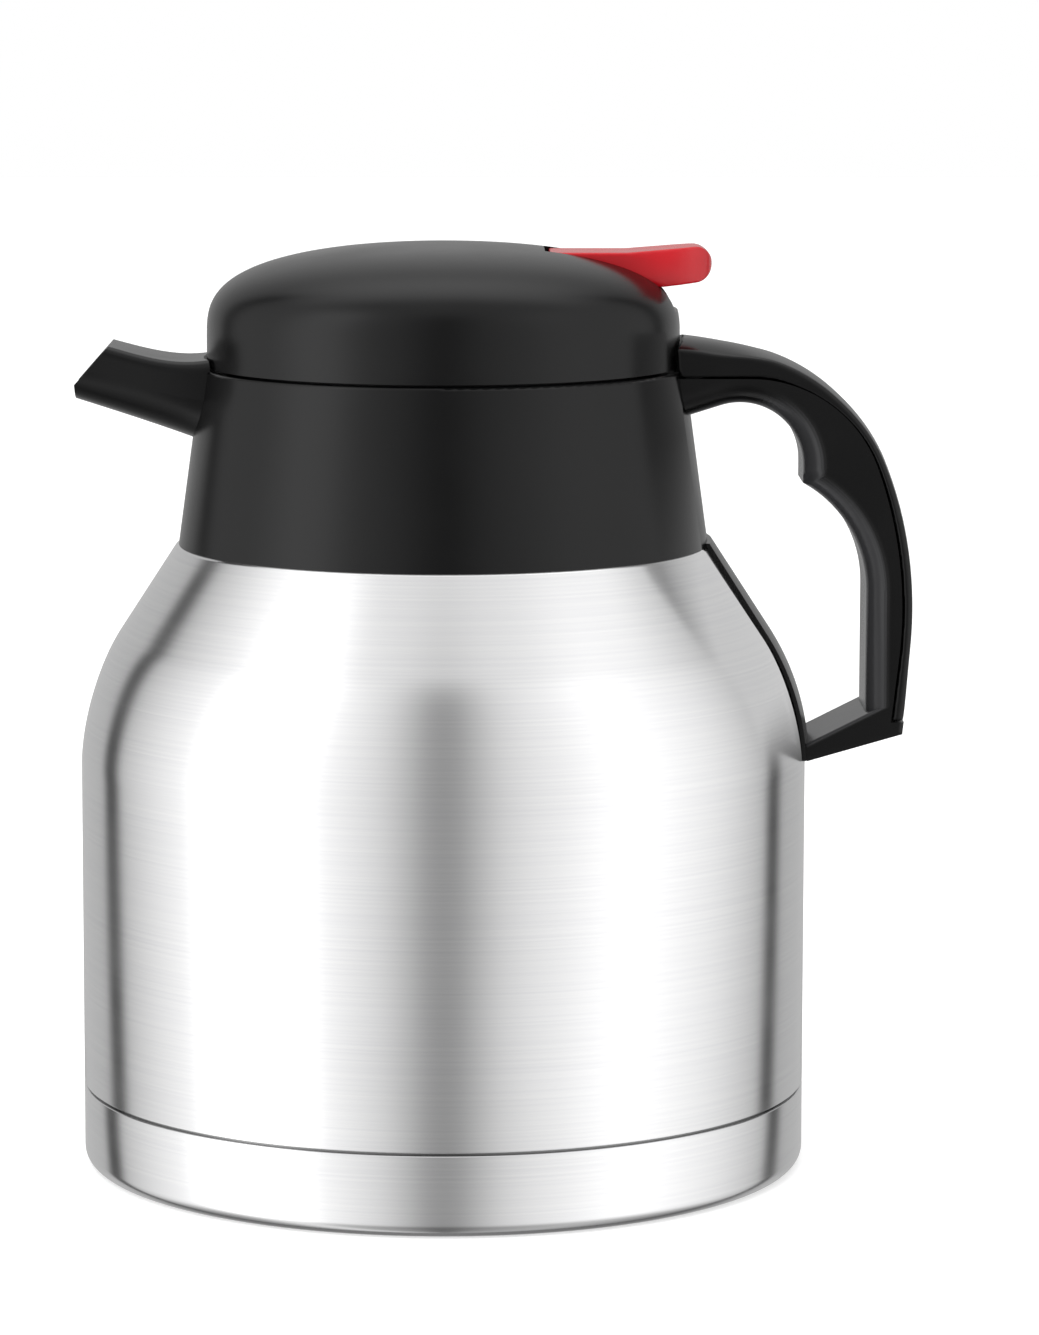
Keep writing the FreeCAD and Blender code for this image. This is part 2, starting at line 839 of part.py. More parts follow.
handle_root = dim.bore_radius
handle_root_top = collar_top + dim.handle_root_top
handle_reach = dim.body_radius + dim.handle_overhang
handle_foot = dim.shoulder_base - dim.foot_drop
handle_corner = handle_foot + dim.corner_rise
grip_x = handle_reach - dim.handle_grip
grip_low = handle_foot + dim.grip_rise
bend_radius = derive("bend_radius", (handle_reach - handle_root) * dim.bend_ratio)
back_radius = derive("back_radius", (handle_root_top - handle_corner) * dim.back_ratio)
grip_radius = derive("grip_radius", (collar_top - grip_low) * dim.grip_ratio)
finger_radius = derive("finger_radius", (grip_x - handle_root) * dim.finger_ratio)
bend_heading = derive("bend_heading", dim.crown_heading - dim.bend_turn)


def handle_back_line():
    """Crown, bend and back of the handle in side view, from the root to the corner at the foot."""
    bend_reach = (sine(dim.crown_heading) - sine(bend_heading)) * bend_radius
    back_reach = (sine(bend_heading) + 1) * back_radius
    return trail("handle_back", handle_root, handle_root_top, dim.crown_heading, [
        ("run to x", handle_reach - bend_reach - back_reach),
        ("bend right", bend_radius, dim.bend_turn),
        ("bend right", back_radius, dim.back_turn),
        ("run to y", handle_corner),
    ])


def handle_grip_line():
    """Grip, finger notch and finger arch of the handle in side view, from the foot to the root."""
    upright = as_size(90.0)
    leaning = upright + dim.grip_turn
    notch_low = collar_top - dim.finger_drop - finger_radius - dim.notch_height
    grip_top = notch_low - dim.notch_run * sine(leaning) + grip_radius * cosine(leaning)
    return trail("handle_grip", grip_x, grip_low, upright, [
        ("run to y", grip_top),
        ("bend left", grip_radius, dim.grip_turn),
        ("run", dim.notch_run),
        ("corner right", dim.grip_turn),
        ("run", dim.notch_height),
        ("bend left", finger_radius, dim.finger_turn),
        ("run to x", handle_root),
    ])


back_line = handle_back_line()
grip_line = handle_grip_line()


def handle_outline():
    """Side view of the handle, clockwise from the top of its root."""
    foot_x = dim.body_radius - dim.cup_corner
    foot = [
        (foot_x, handle_foot),
        (foot_x, handle_foot + dim.foot_thickness),
        (grip_x, grip_low),
    ]
    return [(handle_root, handle_root_top), *back_line, *foot, *grip_line]


def cover_zone(name, drop):
    """Everything outside the parting line between the handle's body and its cover."""
    split = collar_top - dim.cover_drop - drop
    thick = dim.cover_thickness + drop
    bend_x, bend_y, _ = back_line[1]
    turn_x = bend_x + thick * sine(bend_heading)
    turn_y = bend_y - thick * cosine(bend_heading)
    radius = derive(f"{name}_radius", (split - turn_y) / (-cosine(bend_heading) + 1))
    start_x = turn_x + radius * sine(bend_heading)
    line = trail(f"{name}_line", start_x, split, ZERO, [
        ("bend right", radius, -bend_heading),
        ("bend right", back_radius - thick, dim.back_turn),
        ("run to y", grip_low - dim.cover_rise - drop),
    ])
    above = lid_top + dim.handle_wall
    beyond = handle_reach + dim.handle_width
    body = new_body(name)
    extrude(body, f"{name}_form", "XZ_Plane", [
        (dim.neck_radius, above),
        (dim.neck_radius, split),
        (start_x, split),
        *line,
        (beyond, line[-1][1]),
        (beyond, above),
    ], dim.handle_width * 2)
    return body


def handle_seat():
    """What the handle is fitted against: the strap on the shoulder, the collar, and room for the lid to turn."""
    thick = dim.strap_thickness
    out_r, out_z = shoulder_end(-thick, dim.shoulder_slope)
    body = new_body("handle_seat")
    turn(body, "seat_form", [
        (ZERO, dim.cup_height),
        (dim.body_radius + thick, dim.cup_height),
        (dim.body_radius + thick, dim.shoulder_base),
        (out_r, out_z, dim.shoulder_radius + thick),
        (cone_radius(-thick, dim.shoulder_slope, ledge), ledge),
        (dim.collar_foot_radius, ledge),
        (dim.collar_top_radius, collar_top),
        (lid_room, collar_top),
        (lid_room, lid_top),
        (ZERO, lid_top),
    ])
    return body


def on_handle_side(edge):
    """Whether an edge lies in one of the handle's two side planes."""
    box = edge.BoundBox
    return box.YLength < 0.001 and abs(abs(box.YMin) - dim.handle_width.number / 2) < 0.001


def has_radius(edge, *sizes):
    """Whether an arc has one of the radii."""
    return any(abs(edge.Curve.Radius - size.number) < 0.001 for size in sizes)


def on_handle_grip(edge):
    """Whether an edge in a side plane runs along the grip, the finger notch or the finger arch."""
    if isinstance(edge.Curve, Part.Circle):
        return on_handle_side(edge) and has_radius(edge, grip_radius, finger_radius)
    middle = edge.BoundBox.Center
    across = handle_root.number + 0.01 < middle.x < grip_x.number + 0.01
    return on_handle_side(edge) and across and grip_low.number < middle.z < collar_top.number


def on_handle_rim(edge):
    """Whether an edge in a side plane runs round the outside: root, crown, bend, back or foot."""
    if isinstance(edge.Curve, Part.Circle):
        return on_handle_side(edge) and has_radius(edge, bend_radius, back_radius)
    middle = edge.BoundBox.Center
    at_end = middle.x < handle_root.number + 0.01 or middle.z < grip_low.number
    at_back = middle.x > (grip_x + handle_reach).number / 2 or middle.z > collar_top.number
    return on_handle_side(edge) and (at_end or at_back)


def screw_rods(name, radius, spare):
    """The two screws' shanks as rods: from their tips in the collar to their heads in the handle."""
    tip = dim.bore_radius + dim.screw_tip_wall
    length = screw_head_seat - tip
    height = collar_top - dim.screw_drop
    return [rod(f"{name}_{side}", radius + spare, length, (tip, dim.screw_spread * sign, height), "X")
            for side, sign in (("left", -1), ("right", 1))]


screw_head_seat = collar_radius(collar_top - dim.screw_drop) + dim.handle_root_wall


def screw_heads(name, radius, length):
    height = collar_top - dim.screw_drop
    return [rod(f"{name}_{side}", radius, length, (screw_head_seat, dim.screw_spread * sign, height), "X")
            for side, sign in (("left", -1), ("right", 1))]


def handle():
    """Hollow handle in two mouldings, split along the parting line under its crown and down its back."""
    form = new_body("handle_form")
    pad = extrude(form, "handle_side", "XZ_Plane", handle_outline(), dim.handle_width)
    sketch = pad.Profile[0]
    round_edges(form, "handle_grip_edges", dim.handle_grip_round, on_handle_grip)
    round_edges(form, "handle_rim_edges", dim.handle_rim_round, on_handle_rim)
    fitted = minus("handle_fitted", form, handle_seat())

    inset = doc.addObject("Part::Offset2D", "hollow_outline")
    inset.Source = sketch
    bind(inset, Value=-dim.handle_wall)
    hollow = doc.addObject("Part::Extrusion", "hollow_side")
    hollow.Base = inset
    hollow.DirMode = "Custom"
    hollow.Dir = FreeCAD.Vector(0, 1, 0)
    hollow.Symmetric = True
    hollow.Solid = True
    bind(hollow, LengthFwd=dim.handle_width - dim.handle_wall * 2)
    bounds = block("hollow_bounds", (screw_head_seat, -dim.handle_width, grip_low + dim.hollow_rise),
                   (handle_reach, dim.handle_width, lid_top))
    hollow_room = shared("hollow_room", hollow, bounds)

    wells = screw_heads("screw_well", dim.screw_head_radius + dim.cover_gap, dim.screw_head_height * 3)
    tab_low = handle_foot + dim.tab_rise - dim.strap_clearance
    tab_slot = block("tab_slot", (dim.body_radius, -dim.tab_width / 2 - dim.strap_clearance, tab_low),
                     (dim.body_radius + dim.tab_length + dim.strap_clearance,
                      dim.tab_width / 2 + dim.strap_clearance,
                      tab_low + dim.strap_thickness + dim.strap_clearance * 2))
    shanks = screw_rods("handle_hole", dim.screw_radius, dim.screw_clearance)
    case = minus("handle_case", fitted, cover_zone("cover_room", dim.cover_gap), hollow_room,
                 *wells, tab_slot, *shanks)
    slab = block("web_slab", (handle_root, -dim.handle_web / 2, handle_foot),
                 (handle_reach, dim.handle_web / 2, lid_top))
    body = joined("handle_body", case, shared("handle_web", hollow_room, slab))
    crown = shared("handle_crown", fitted, cover_zone("cover_form", ZERO))
    cover = minus("handle_cover", crown, hollow_room)
    return body, cover


def handle_screws():
    """Two self-tapping screws, driven from the handle's hollow into the collar before the cover goes on."""
    shanks = screw_rods("screw_shank", dim.screw_radius, ZERO)
    heads = screw_heads("screw_head", dim.screw_head_radius, dim.screw_head_height)
    return joined("handle_screws", *shanks, *heads)


# Lid, stopper and valve

flange_low = shelf_top + dim.seal_thickness
chamber_step = flange_low + dim.stopper_flange
deck_top = lid_low - dim.deck_drop
deck_low = deck_top - dim.deck_thickness
plug_low = flange_low - dim.stopper_plug_depth
chamber_radius = dim.stopper_radius - dim.stopper_wall
plug_bore = dim.stopper_plug_radius - dim.stopper_wall
guide_top = deck_top + dim.guide_height
gland_low = guide_top - dim.gland_depth
stem_bore = dim.stem_radius + dim.stem_clearance
seat_top = plug_low + dim.base_plate + dim.seat_lip
carrier_low = seat_top + dim.valve_seal_thickness
carrier_top = carrier_low + dim.carrier_thickness
pivot_x = dim.pivot_reach
pivot_z = lid_low + dim.pivot_height
tine_z = lid_low + dim.tine_height
cap_low = tine_z + dim.tine_radius + dim.cap_clearance
slot_half = dim.lever_width / 2 + dim.lever_gap


def dome_outline(inset, low):
    """Half section of the lid's dome, set in from the outside: a flat crown rounded into a straight wall."""
    crown = dim.lid_crown_radius - inset
    edge = dim.lid_edge_radius - inset
    radius = dim.lid_radius - inset
    crown_centre = lid_top - dim.lid_crown_radius
    reach = dim.lid_radius - dim.lid_edge_radius
    span = dim.lid_crown_radius - dim.lid_edge_radius
    rise = root(span * span - reach * reach)
    return [
        (ZERO, low),
        (radius, low),
        (radius, crown_centre + rise),
        (reach / span * crown, crown_centre + rise / span * crown, edge),
        (ZERO, crown_centre + crown, crown),
    ]


def lid_cover():
    """Moulded dome with a walled well for the lever, two lugs for its pin, and a slot open to the rear."""
    dome = new_body("dome_form")
    turn(dome, "dome_outside", dome_outline(ZERO, lid_low))
    room = new_body("dome_room")
    turn(room, "dome_inside", dome_outline(dim.lid_wall, collar_top))
    floor = lid_low + dim.well_floor
    wall_half = slot_half + dim.well_wall
    well = block("well_block", (dim.well_front, -wall_half, floor - dim.well_wall),
                 (dim.lid_radius, wall_half, lid_top))
    lugs = [block(f"lug_{side}", (pivot_x - dim.lug_radius, low, pivot_z - dim.lug_radius),
                  (pivot_x + dim.lug_radius, low + dim.lug_thickness, lid_top))
            for side, low in (("left", -slot_half - dim.lug_thickness), ("right", slot_half))]
    hollow = minus("dome_hollow", room, joined("dome_ribs", well, *lugs))
    slot = new_body("lever_slot")
    above = lid_top + dim.lid_wall
    behind = dim.lid_radius + dim.lid_wall
    dam = floor + dim.well_dam
    extrude(slot, "slot_side", "XZ_Plane", [
        (dim.slot_front, above),
        (dim.slot_front, dam),
        (dim.well_front + dim.well_wall, dam),
        (dim.well_front + dim.well_wall, floor),
        (behind, floor),
        (behind, above),
    ], slot_half * 2)
    hole = rod("pin_hole", dim.pin_radius, dim.lid_radius, (pivot_x, -dim.lid_radius / 2, pivot_z), "Y")
    return minus("lid_cover", dome, hollow, slot, hole)


def stopper():
    """Screw-in body under the dome: flange, threaded wall, plug, deck, and the guide for the valve's rod."""
    groove_z = lid_low - dim.o_ring_drop - dim.o_ring_radius
    groove_half = dim.o_ring_radius + dim.stem_clearance
    groove_r = dim.bore_radius - dim.o_ring_clearance - dim.o_ring_radius * 2 - dim.stem_clearance
    body = new_body("stopper")
    turn(body, "stopper_form", [
        (plug_bore, plug_low),
        (dim.stopper_plug_radius, plug_low),
        (dim.stopper_plug_radius, flange_low),
        (dim.stopper_radius, flange_low),
        (dim.stopper_radius, groove_z - groove_half),
        (groove_r, groove_z - groove_half),
        (groove_r, groove_z + groove_half),
        (dim.stopper_radius, groove_z + groove_half),
        (dim.stopper_radius, lid_low),
        (lid_bore, lid_low),
        (lid_bore, lid_low + dim.stopper_flange),
        (chamber_radius, lid_low + dim.stopper_flange),
        (chamber_radius, deck_top),
        (dim.guide_radius, deck_top),
        (dim.guide_radius, guide_top),
        (stem_bore + dim.stem_ring_radius * 2, guide_top),
        (stem_bore + dim.stem_ring_radius * 2, gland_low),
        (stem_bore, gland_low),
        (stem_bore, deck_low),
        (chamber_radius, deck_low),
        (chamber_radius, chamber_step),
        (plug_bore, chamber_step),
    ])
    extrude(body, "pour_port", "XZ_Plane", [
        (-dim.bore_radius, chamber_step + dim.port_sill),
        (-plug_bore, chamber_step + dim.port_sill),
        (-plug_bore, deck_low - dim.port_sill),
        (-dim.bore_radius, deck_low - dim.port_sill),
    ], dim.port_width, cut=True)
    return body


def stopper_base():
    """Plate pressed into the plug's end, with the valve's raised seat."""
    top = plug_low + dim.base_plate
    body = new_body("stopper_base")
    turn(body, "seat_plate", [
        (dim.seat_radius, plug_low),
        (plug_bore, plug_low),
        (plug_bore, top),
        (dim.seat_radius + dim.seat_lip_width, top),
        (dim.seat_radius + dim.seat_lip_width, seat_top),
        (dim.seat_radius, seat_top),
    ])
    return body


def stopper_seal():
    """Flat silicone ring between the stopper's flange and the collar's shelf."""
    inside = dim.stopper_plug_radius + dim.o_ring_clearance
    body = new_body("stopper_seal")
    turn(body, "flat_seal", [
        (inside, shelf_top),
        (inside + dim.seal_width, shelf_top),
        (inside + dim.seal_width, flange_low),
        (inside, flange_low),
    ])
    return body


def valve_stem():
    """Rod with the carrier that presses the silicone disc down, and the button that holds the disc on."""
    button_low = seat_top - dim.button_thickness
    body = new_body("valve_stem")
    turn(body, "stem_form", [
        (ZERO, button_low),
        (dim.button_radius, button_low),
        (dim.button_radius, seat_top),
        (dim.stem_radius, seat_top),
        (dim.stem_radius, carrier_low),
        (dim.carrier_radius, carrier_low),
        (dim.carrier_radius, carrier_top),
        (dim.stem_radius, carrier_top),
        (dim.stem_radius, cap_low + dim.cap_thickness / 2),
        (ZERO, cap_low + dim.cap_thickness / 2),
    ])
    return body


def valve_seal():
    """Silicone disc that closes the seat."""
    body = new_body("valve_seal")
    turn(body, "seal_disc", [
        (dim.stem_radius, seat_top),
        (dim.valve_seal_radius, seat_top),
        (dim.valve_seal_radius, carrier_low),
        (dim.stem_radius, carrier_low),
    ])
    return body


def stem_cap():
    """Head pressed on the rod's top, which the lever's fork lifts."""
    high = cap_low + dim.cap_thickness
    middle = cap_low + dim.cap_thickness / 2
    body = new_body("stem_cap")
    turn(body, "cap_form", [
        (dim.stem_radius, cap_low),
        (dim.cap_radius, cap_low),
        (dim.cap_radius, high),
        (ZERO, high),
        (ZERO, middle),
        (dim.stem_radius, middle),
    ])
    return body


def seal_retainer():
    """Washer that keeps the rod's ring in its gland."""
    inside = stem_bore + dim.stem_ring_radius / 2
    body = new_body("seal_retainer")
    turn(body, "washer", [
        (inside, guide_top),
        (dim.guide_radius, guide_top),
        (dim.guide_radius, guide_top + dim.retainer_thickness),
        (inside, guide_top + dim.retainer_thickness),
    ])
    return body


def valve_spring():
    """Coil spring between the carrier and the deck that keeps the valve shut."""
    wire = dim.spring_wire / 2
    low = carrier_top + wire
    body = new_body("valve_spring")
    sketch = new_sketch(body, "wire_section", "XZ_Plane")
    centre = FreeCAD.Vector(dim.spring_radius.number, low.number, 0)
    sketch.addGeometry(Part.Circle(centre, FreeCAD.Vector(0, 0, 1), wire.number))
    constrain(sketch, "DistanceX", (-1, 1, 0, 3), dim.spring_radius)
    constrain(sketch, "DistanceY", (-1, 1, 0, 3), low)
    constrain(sketch, "Radius", (0,), wire)
    coil = body.newObject("PartDesign::AdditiveHelix", "coil")
    coil.Profile = sketch
    coil.ReferenceAxis = (sketch, ["V_Axis"])
    coil.Mode = "height-turns-angle"
    bind(coil, Height=deck_low - carrier_top - dim.spring_wire, Turns=dim.spring_turns)
    doc.recompute()
    return body


def lever_side():
    """Side view of the lever: fork arm, pivot boss, belly, rounded nose and thumb face."""
    boss_low = pivot_z - dim.lug_radius
    front = pivot_x - dim.lever_front
    nose = dim.lever_nose
    nose_x = dim.lever_reach - nose
    nose_z = lid_low + dim.lever_nose_height
    under = lid_low + dim.lever_under
    top = lid_low + dim.lever_top
    tine = dim.tine_radius
    return [
        (ZERO, tine_z - tine, tine),
        (front, boss_low),
        (pivot_x + dim.lever_front, boss_low),
        (dim.lever_belly_start, under),
        (dim.lever_belly_end, under),
        (nose_x, nose_z - nose),
        (dim.lever_reach, nose_z, nose),
        (nose_x, nose_z + nose, nose),
        (dim.lever_flat_end, top),
        (front, top),
        (front, lid_low + dim.lever_arm_top),
        (dim.cap_radius + tine, tine_z + tine),
        (ZERO, tine_z + tine),
        (-tine, tine_z, tine),
    ]


def lever_plan():
    """Plan view of the lever: a fork round the valve's rod, and a wider thumb plate with a round end."""
    half = dim.lever_width / 2
    arm = dim.lever_arm_width / 2
    fork = dim.fork_gap / 2
    front = pivot_x - dim.lever_front
    round_x = dim.lever_reach - half
    return [
        (-dim.fork_end, -arm),
        (front, -arm),
        (front, -half),
        (round_x, -half),
        (dim.lever_reach, ZERO, half),
        (round_x, half, half),
        (front, half),
        (front, arm),
        (-dim.fork_end, arm),
        (-dim.fork_end, fork),
        (dim.fork_depth, fork),
        (dim.fork_depth, -fork),
        (-dim.fork_end, -fork),
    ]


def lever():
    """Press lever: pushing its thumb plate down lifts the fork, and with it the valve."""
    side = new_body("lever_side_form")
    extrude(side, "lever_side", "XZ_Plane", lever_side(), dim.lever_width * 2)
    plan = new_body("lever_plan_form")
    extrude(plan, "lever_plan", "XY_Plane", lever_plan(), lid_top * 3)
    form = shared("lever_form", side, plan)
    bore = rod("lever_bore", dim.pin_radius + dim.pin_clearance, dim.lid_radius,
               (pivot_x, -dim.lid_radius / 2, pivot_z), "Y")
    return minus("lever", form, bore)


def lever_pin():
    """Steel pin across the two lugs."""
    half = slot_half + dim.lug_thickness
    return rod("lever_pin", dim.pin_radius, half * 2, (pivot_x, -half, pivot_z), "Y")


def build():
    """Every piece by the name that it is known by."""
    handle_body, handle_cover = handle()
    o_ring_middle = dim.bore_radius - dim.o_ring_clearance - dim.o_ring_radius
    o_ring_height = lid_low - dim.o_ring_drop - dim.o_ring_radius
    stem_ring_middle = stem_bore + dim.stem_ring_radius
    return {
        "outer_shell": outer_shell(),
        "inner_flask": inner_flask(),
        "vacuum_base": vacuum_base(),
        "vacuum_plug": vacuum_plug(),
        "getter": getter(),
        "base_cup": base_cup(),
        "neck_gasket": neck_gasket(),
        "neck_collar": neck_collar(),
        "spout": spout(),
        "handle_strap": handle_strap(),
        "handle_body": handle_body,
        "handle_cover": handle_cover,
        "handle_screws": handle_screws(),
        "stopper_seal": stopper_seal(),
        "lid_cover": lid_cover(),
        "stopper": stopper(),
        "stopper_base": stopper_base(),
        "lid_o_ring": ring("lid_o_ring", o_ring_middle, dim.o_ring_radius, o_ring_height),
        "stem_seal": ring("stem_seal", stem_ring_middle, dim.stem_ring_radius, gland_low + dim.stem_ring_radius),
        "seal_retainer": seal_retainer(),
        "lever_pin": lever_pin(),
        "valve_spring": valve_spring(),
        "lever": lever(),
        "valve_stem": valve_stem(),
        "stem_cap": stem_cap(),
        "valve_seal": valve_seal(),
    }


pieces = build()
doc.recompute()
failed = [item.Name for item in doc.Objects if "Invalid" in item.State or "Error" in item.State]
if failed:
    raise RuntimeError(f"features that did not build: {failed}")
for name, piece in pieces.items():
    if piece.Shape.isNull() or not piece.Shape.isValid():
        raise RuntimeError(f"{name} has no valid shape")

os.makedirs("parts", exist_ok=True)
for name, piece in pieces.items():
    piece.Label = name
    piece.Shape.exportStep(f"parts/{name}.step")
    print(f"{name}: {len(piece.Shape.Solids)} solid, {piece.Shape.Volume / 1000:.3f} cm3")
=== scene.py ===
import math

import bpy
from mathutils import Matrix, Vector, kdtree


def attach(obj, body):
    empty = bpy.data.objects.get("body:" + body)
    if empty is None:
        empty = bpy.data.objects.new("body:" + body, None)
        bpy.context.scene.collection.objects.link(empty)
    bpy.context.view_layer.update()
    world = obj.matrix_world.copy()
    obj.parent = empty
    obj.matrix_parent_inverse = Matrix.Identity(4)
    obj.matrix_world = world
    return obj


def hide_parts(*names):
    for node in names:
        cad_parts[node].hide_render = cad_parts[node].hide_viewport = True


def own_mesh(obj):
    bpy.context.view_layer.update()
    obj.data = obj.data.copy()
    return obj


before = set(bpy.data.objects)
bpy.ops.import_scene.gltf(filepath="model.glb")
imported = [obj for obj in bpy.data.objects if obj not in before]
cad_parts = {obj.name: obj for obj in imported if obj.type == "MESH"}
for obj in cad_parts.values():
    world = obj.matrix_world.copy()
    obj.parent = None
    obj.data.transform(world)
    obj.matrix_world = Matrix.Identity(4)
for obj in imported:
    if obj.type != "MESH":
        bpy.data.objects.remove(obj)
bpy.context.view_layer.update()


# Outer shell
# Drawn stainless steel wall of the flask: straight body, rounded shoulder, cone up to the ledge, and neck.
# It is brushed round its axis on a lathe. Its foot is stepped in to take the cup, and shade is painted dark
# on the step, where it shows through the gap above the cup.

mm = 0.001
same_place = 0.001 * mm
weld_distance = 0.002 * mm
turning_steps = 192
smooth_angle = math.radians(28)


def near(place, point):
    """Whether a vertex stands on a point of a section, which is in millimetres."""
    return abs(place.x - point[0] * mm) < same_place and abs(place.z - point[1] * mm) < same_place


def pick(piece, chosen):
    """Selects the vertices that lie where they are wanted, and nothing else, in edit mode."""
    bpy.ops.mesh.select_mode(type="VERT")
    bpy.ops.mesh.select_all(action="DESELECT")
    bpy.ops.object.mode_set(mode="OBJECT")
    for vertex in piece.data.vertices:
        vertex.select = chosen(vertex.co)
    bpy.ops.object.mode_set(mode="EDIT")


def drawn(name, section):
    """A closed section: one vertex is pushed along its points, and the two ends are joined."""
    bpy.ops.object.select_all(action="DESELECT")
    bpy.ops.mesh.primitive_plane_add(size=mm, location=(0, 0, 0))
    piece = bpy.context.object
    piece.name = name
    bpy.ops.object.mode_set(mode="EDIT")
    bpy.ops.mesh.select_all(action="SELECT")
    bpy.ops.mesh.merge(type="CENTER")
    first, last = section[0], section[-1]
    bpy.ops.transform.translate(value=(first[0] * mm, 0, first[1] * mm))
    for (r0, z0), (r1, z1) in zip(section, section[1:]):
        push = ((r1 - r0) * mm, 0, (z1 - z0) * mm)
        bpy.ops.mesh.extrude_region_move(TRANSFORM_OT_translate={"value": push})
    pick(piece, lambda place: near(place, first) or near(place, last))
    bpy.ops.mesh.edge_face_add()
    return piece


def turned(name, section, rounds=()):
    """A turned piece: its half section is drawn, corners are rounded, and it is spun round the axis."""
    piece = drawn(name, section)
    for corner, offset, segments in rounds:
        pick(piece, lambda place: near(place, corner))
        bpy.ops.mesh.bevel(offset=offset * mm, offset_type="ABSOLUTE", segments=segments, affect="VERTICES")
    bpy.ops.mesh.select_all(action="SELECT")
    bpy.ops.mesh.spin(steps=turning_steps, angle=math.tau, center=(0, 0, 0), axis=(0, 0, 1))
    bpy.ops.mesh.select_all(action="SELECT")
    bpy.ops.mesh.remove_doubles(threshold=weld_distance)
    bpy.ops.mesh.normals_make_consistent(inside=False)
    bpy.ops.object.mode_set(mode="OBJECT")
    bpy.ops.object.shade_smooth_by_angle(angle=smooth_angle)
    return piece


def finish_of(name):
    """A new material, with its tree of nodes and its shader at hand."""
    material = bpy.data.materials.new(name)
    material.use_nodes = True
    return material, material.node_tree, material.node_tree.nodes["Principled BSDF"]


def noise(tree, scale, detail=3.0):
    """Noise on the piece's own coordinates, stretched by a scale on each axis."""
    place = tree.nodes.new("ShaderNodeTexCoord")
    stretch = tree.nodes.new("ShaderNodeMapping")
    stretch.inputs["Scale"].default_value = scale
    pattern = tree.nodes.new("ShaderNodeTexNoise")
    pattern.inputs["Scale"].default_value = 1.0
    pattern.inputs["Detail"].default_value = detail
    tree.links.new(place.outputs["Object"], stretch.inputs["Vector"])
    tree.links.new(stretch.outputs["Vector"], pattern.inputs["Vector"])
    return pattern.outputs["Fac"]


def axes_of(tree, kind, output):
    """The three parts of a place or direction that a node gives."""
    source = tree.nodes.new(kind)
    axes = tree.nodes.new("ShaderNodeSeparateXYZ")
    tree.links.new(source.outputs[output], axes.inputs["Vector"])
    return axes.outputs


def ranged(tree, source, start, end, low=0.0, high=1.0, shape="LINEAR"):
    """A value fitted from one range to another and held at both ends."""
    fit = tree.nodes.new("ShaderNodeMapRange")
    fit.interpolation_type = shape
    fit.inputs["From Min"].default_value = start
    fit.inputs["From Max"].default_value = end
    fit.inputs["To Min"].default_value = low
    fit.inputs["To Max"].default_value = high
    tree.links.new(source, fit.inputs["Value"])
    return fit.outputs["Result"]


def mixed(tree, share, first, second, blend="MIX"):
    """Two colours mixed by a share. Each is a plain colour or comes from another node."""
    mix = tree.nodes.new("ShaderNodeMix")
    mix.data_type = "RGBA"
    mix.blend_type = blend
    tree.links.new(share, mix.inputs["Factor"])
    for socket, colour in ((mix.inputs["A"], first), (mix.inputs["B"], second)):
        if isinstance(colour, tuple):
            socket.default_value = colour
        else:
            tree.links.new(colour, socket)
    return mix.outputs["Result"]


noise_low = 0.3
noise_high = 0.7


def coloured(tree, shader, source, dark, light):
    """Colours a surface from dark to light by a noise."""
    blend = tree.nodes.new("ShaderNodeValToRGB")
    dark_end, light_end = blend.color_ramp.elements
    dark_end.position = noise_low
    light_end.position = noise_high
    dark_end.color = (*dark, 1)
    light_end.color = (*light, 1)
    tree.links.new(source, blend.inputs["Fac"])
    tree.links.new(blend.outputs["Color"], shader.inputs["Base Color"])


def shined(tree, shader, source, smooth, rough):
    """Varies a surface's shine from smooth to rough by a noise."""
    tree.links.new(ranged(tree, source, noise_low, noise_high, smooth, rough), shader.inputs["Roughness"])


def raised(tree, shader, source, strength, height):
    """Raises a noise as relief on a surface."""
    bump = tree.nodes.new("ShaderNodeBump")
    bump.inputs["Strength"].default_value = strength
    bump.inputs["Distance"].default_value = height
    tree.links.new(source, bump.inputs["Height"])
    tree.links.new(bump.outputs["Normal"], shader.inputs["Normal"])


def brushed_steel(name, dark, light, smooth, rough, relief):
    """Stainless steel with brush lines round the axis: the shine is drawn out across the lines."""
    material, tree, shader = finish_of(name)
    shader.inputs["Metallic"].default_value = 1.0
    shader.inputs["Anisotropic"].default_value = 0.6
    shader.inputs["Anisotropic Rotation"].default_value = 0.25
    round_axis = tree.nodes.new("ShaderNodeTangent")
    round_axis.direction_type = "RADIAL"
    round_axis.axis = "Z"
    tree.links.new(round_axis.outputs["Tangent"], shader.inputs["Tangent"])
    lines = noise(tree, scale=(9, 9, 2600), detail=4.0)
    clouds = noise(tree, scale=(16, 16, 60), detail=2.0)
    coloured(tree, shader, lines, dark, light)
    shined(tree, shader, clouds, smooth, rough)
    raised(tree, shader, lines, relief, height=0.02 * mm)
    return material


shell_foot = (72.5, 16.7)
shoulder_outside = (72.5, 95.218)
shoulder_inside = (71.9, 95.040)
shell_ledge = (53.2, 124.938)
shell = turned("steel_shell", [
    (71.1, 6.2), (71.7, 6.2), (71.7, 16.7), shell_foot, shoulder_outside, shell_ledge,
    (43.2, 124.938), (43.2, 144.438), (42.6, 144.438), (42.6, 124.338), (52.874, 124.338),
    shoulder_inside, (71.9, 17.3), (71.1, 17.3),
], [
    (shell_foot, 0.3, 3),
    (shoulder_outside, 14.218, 28),
    (shell_ledge, 0.58, 8),
    (shoulder_inside, 14.040, 20),
])

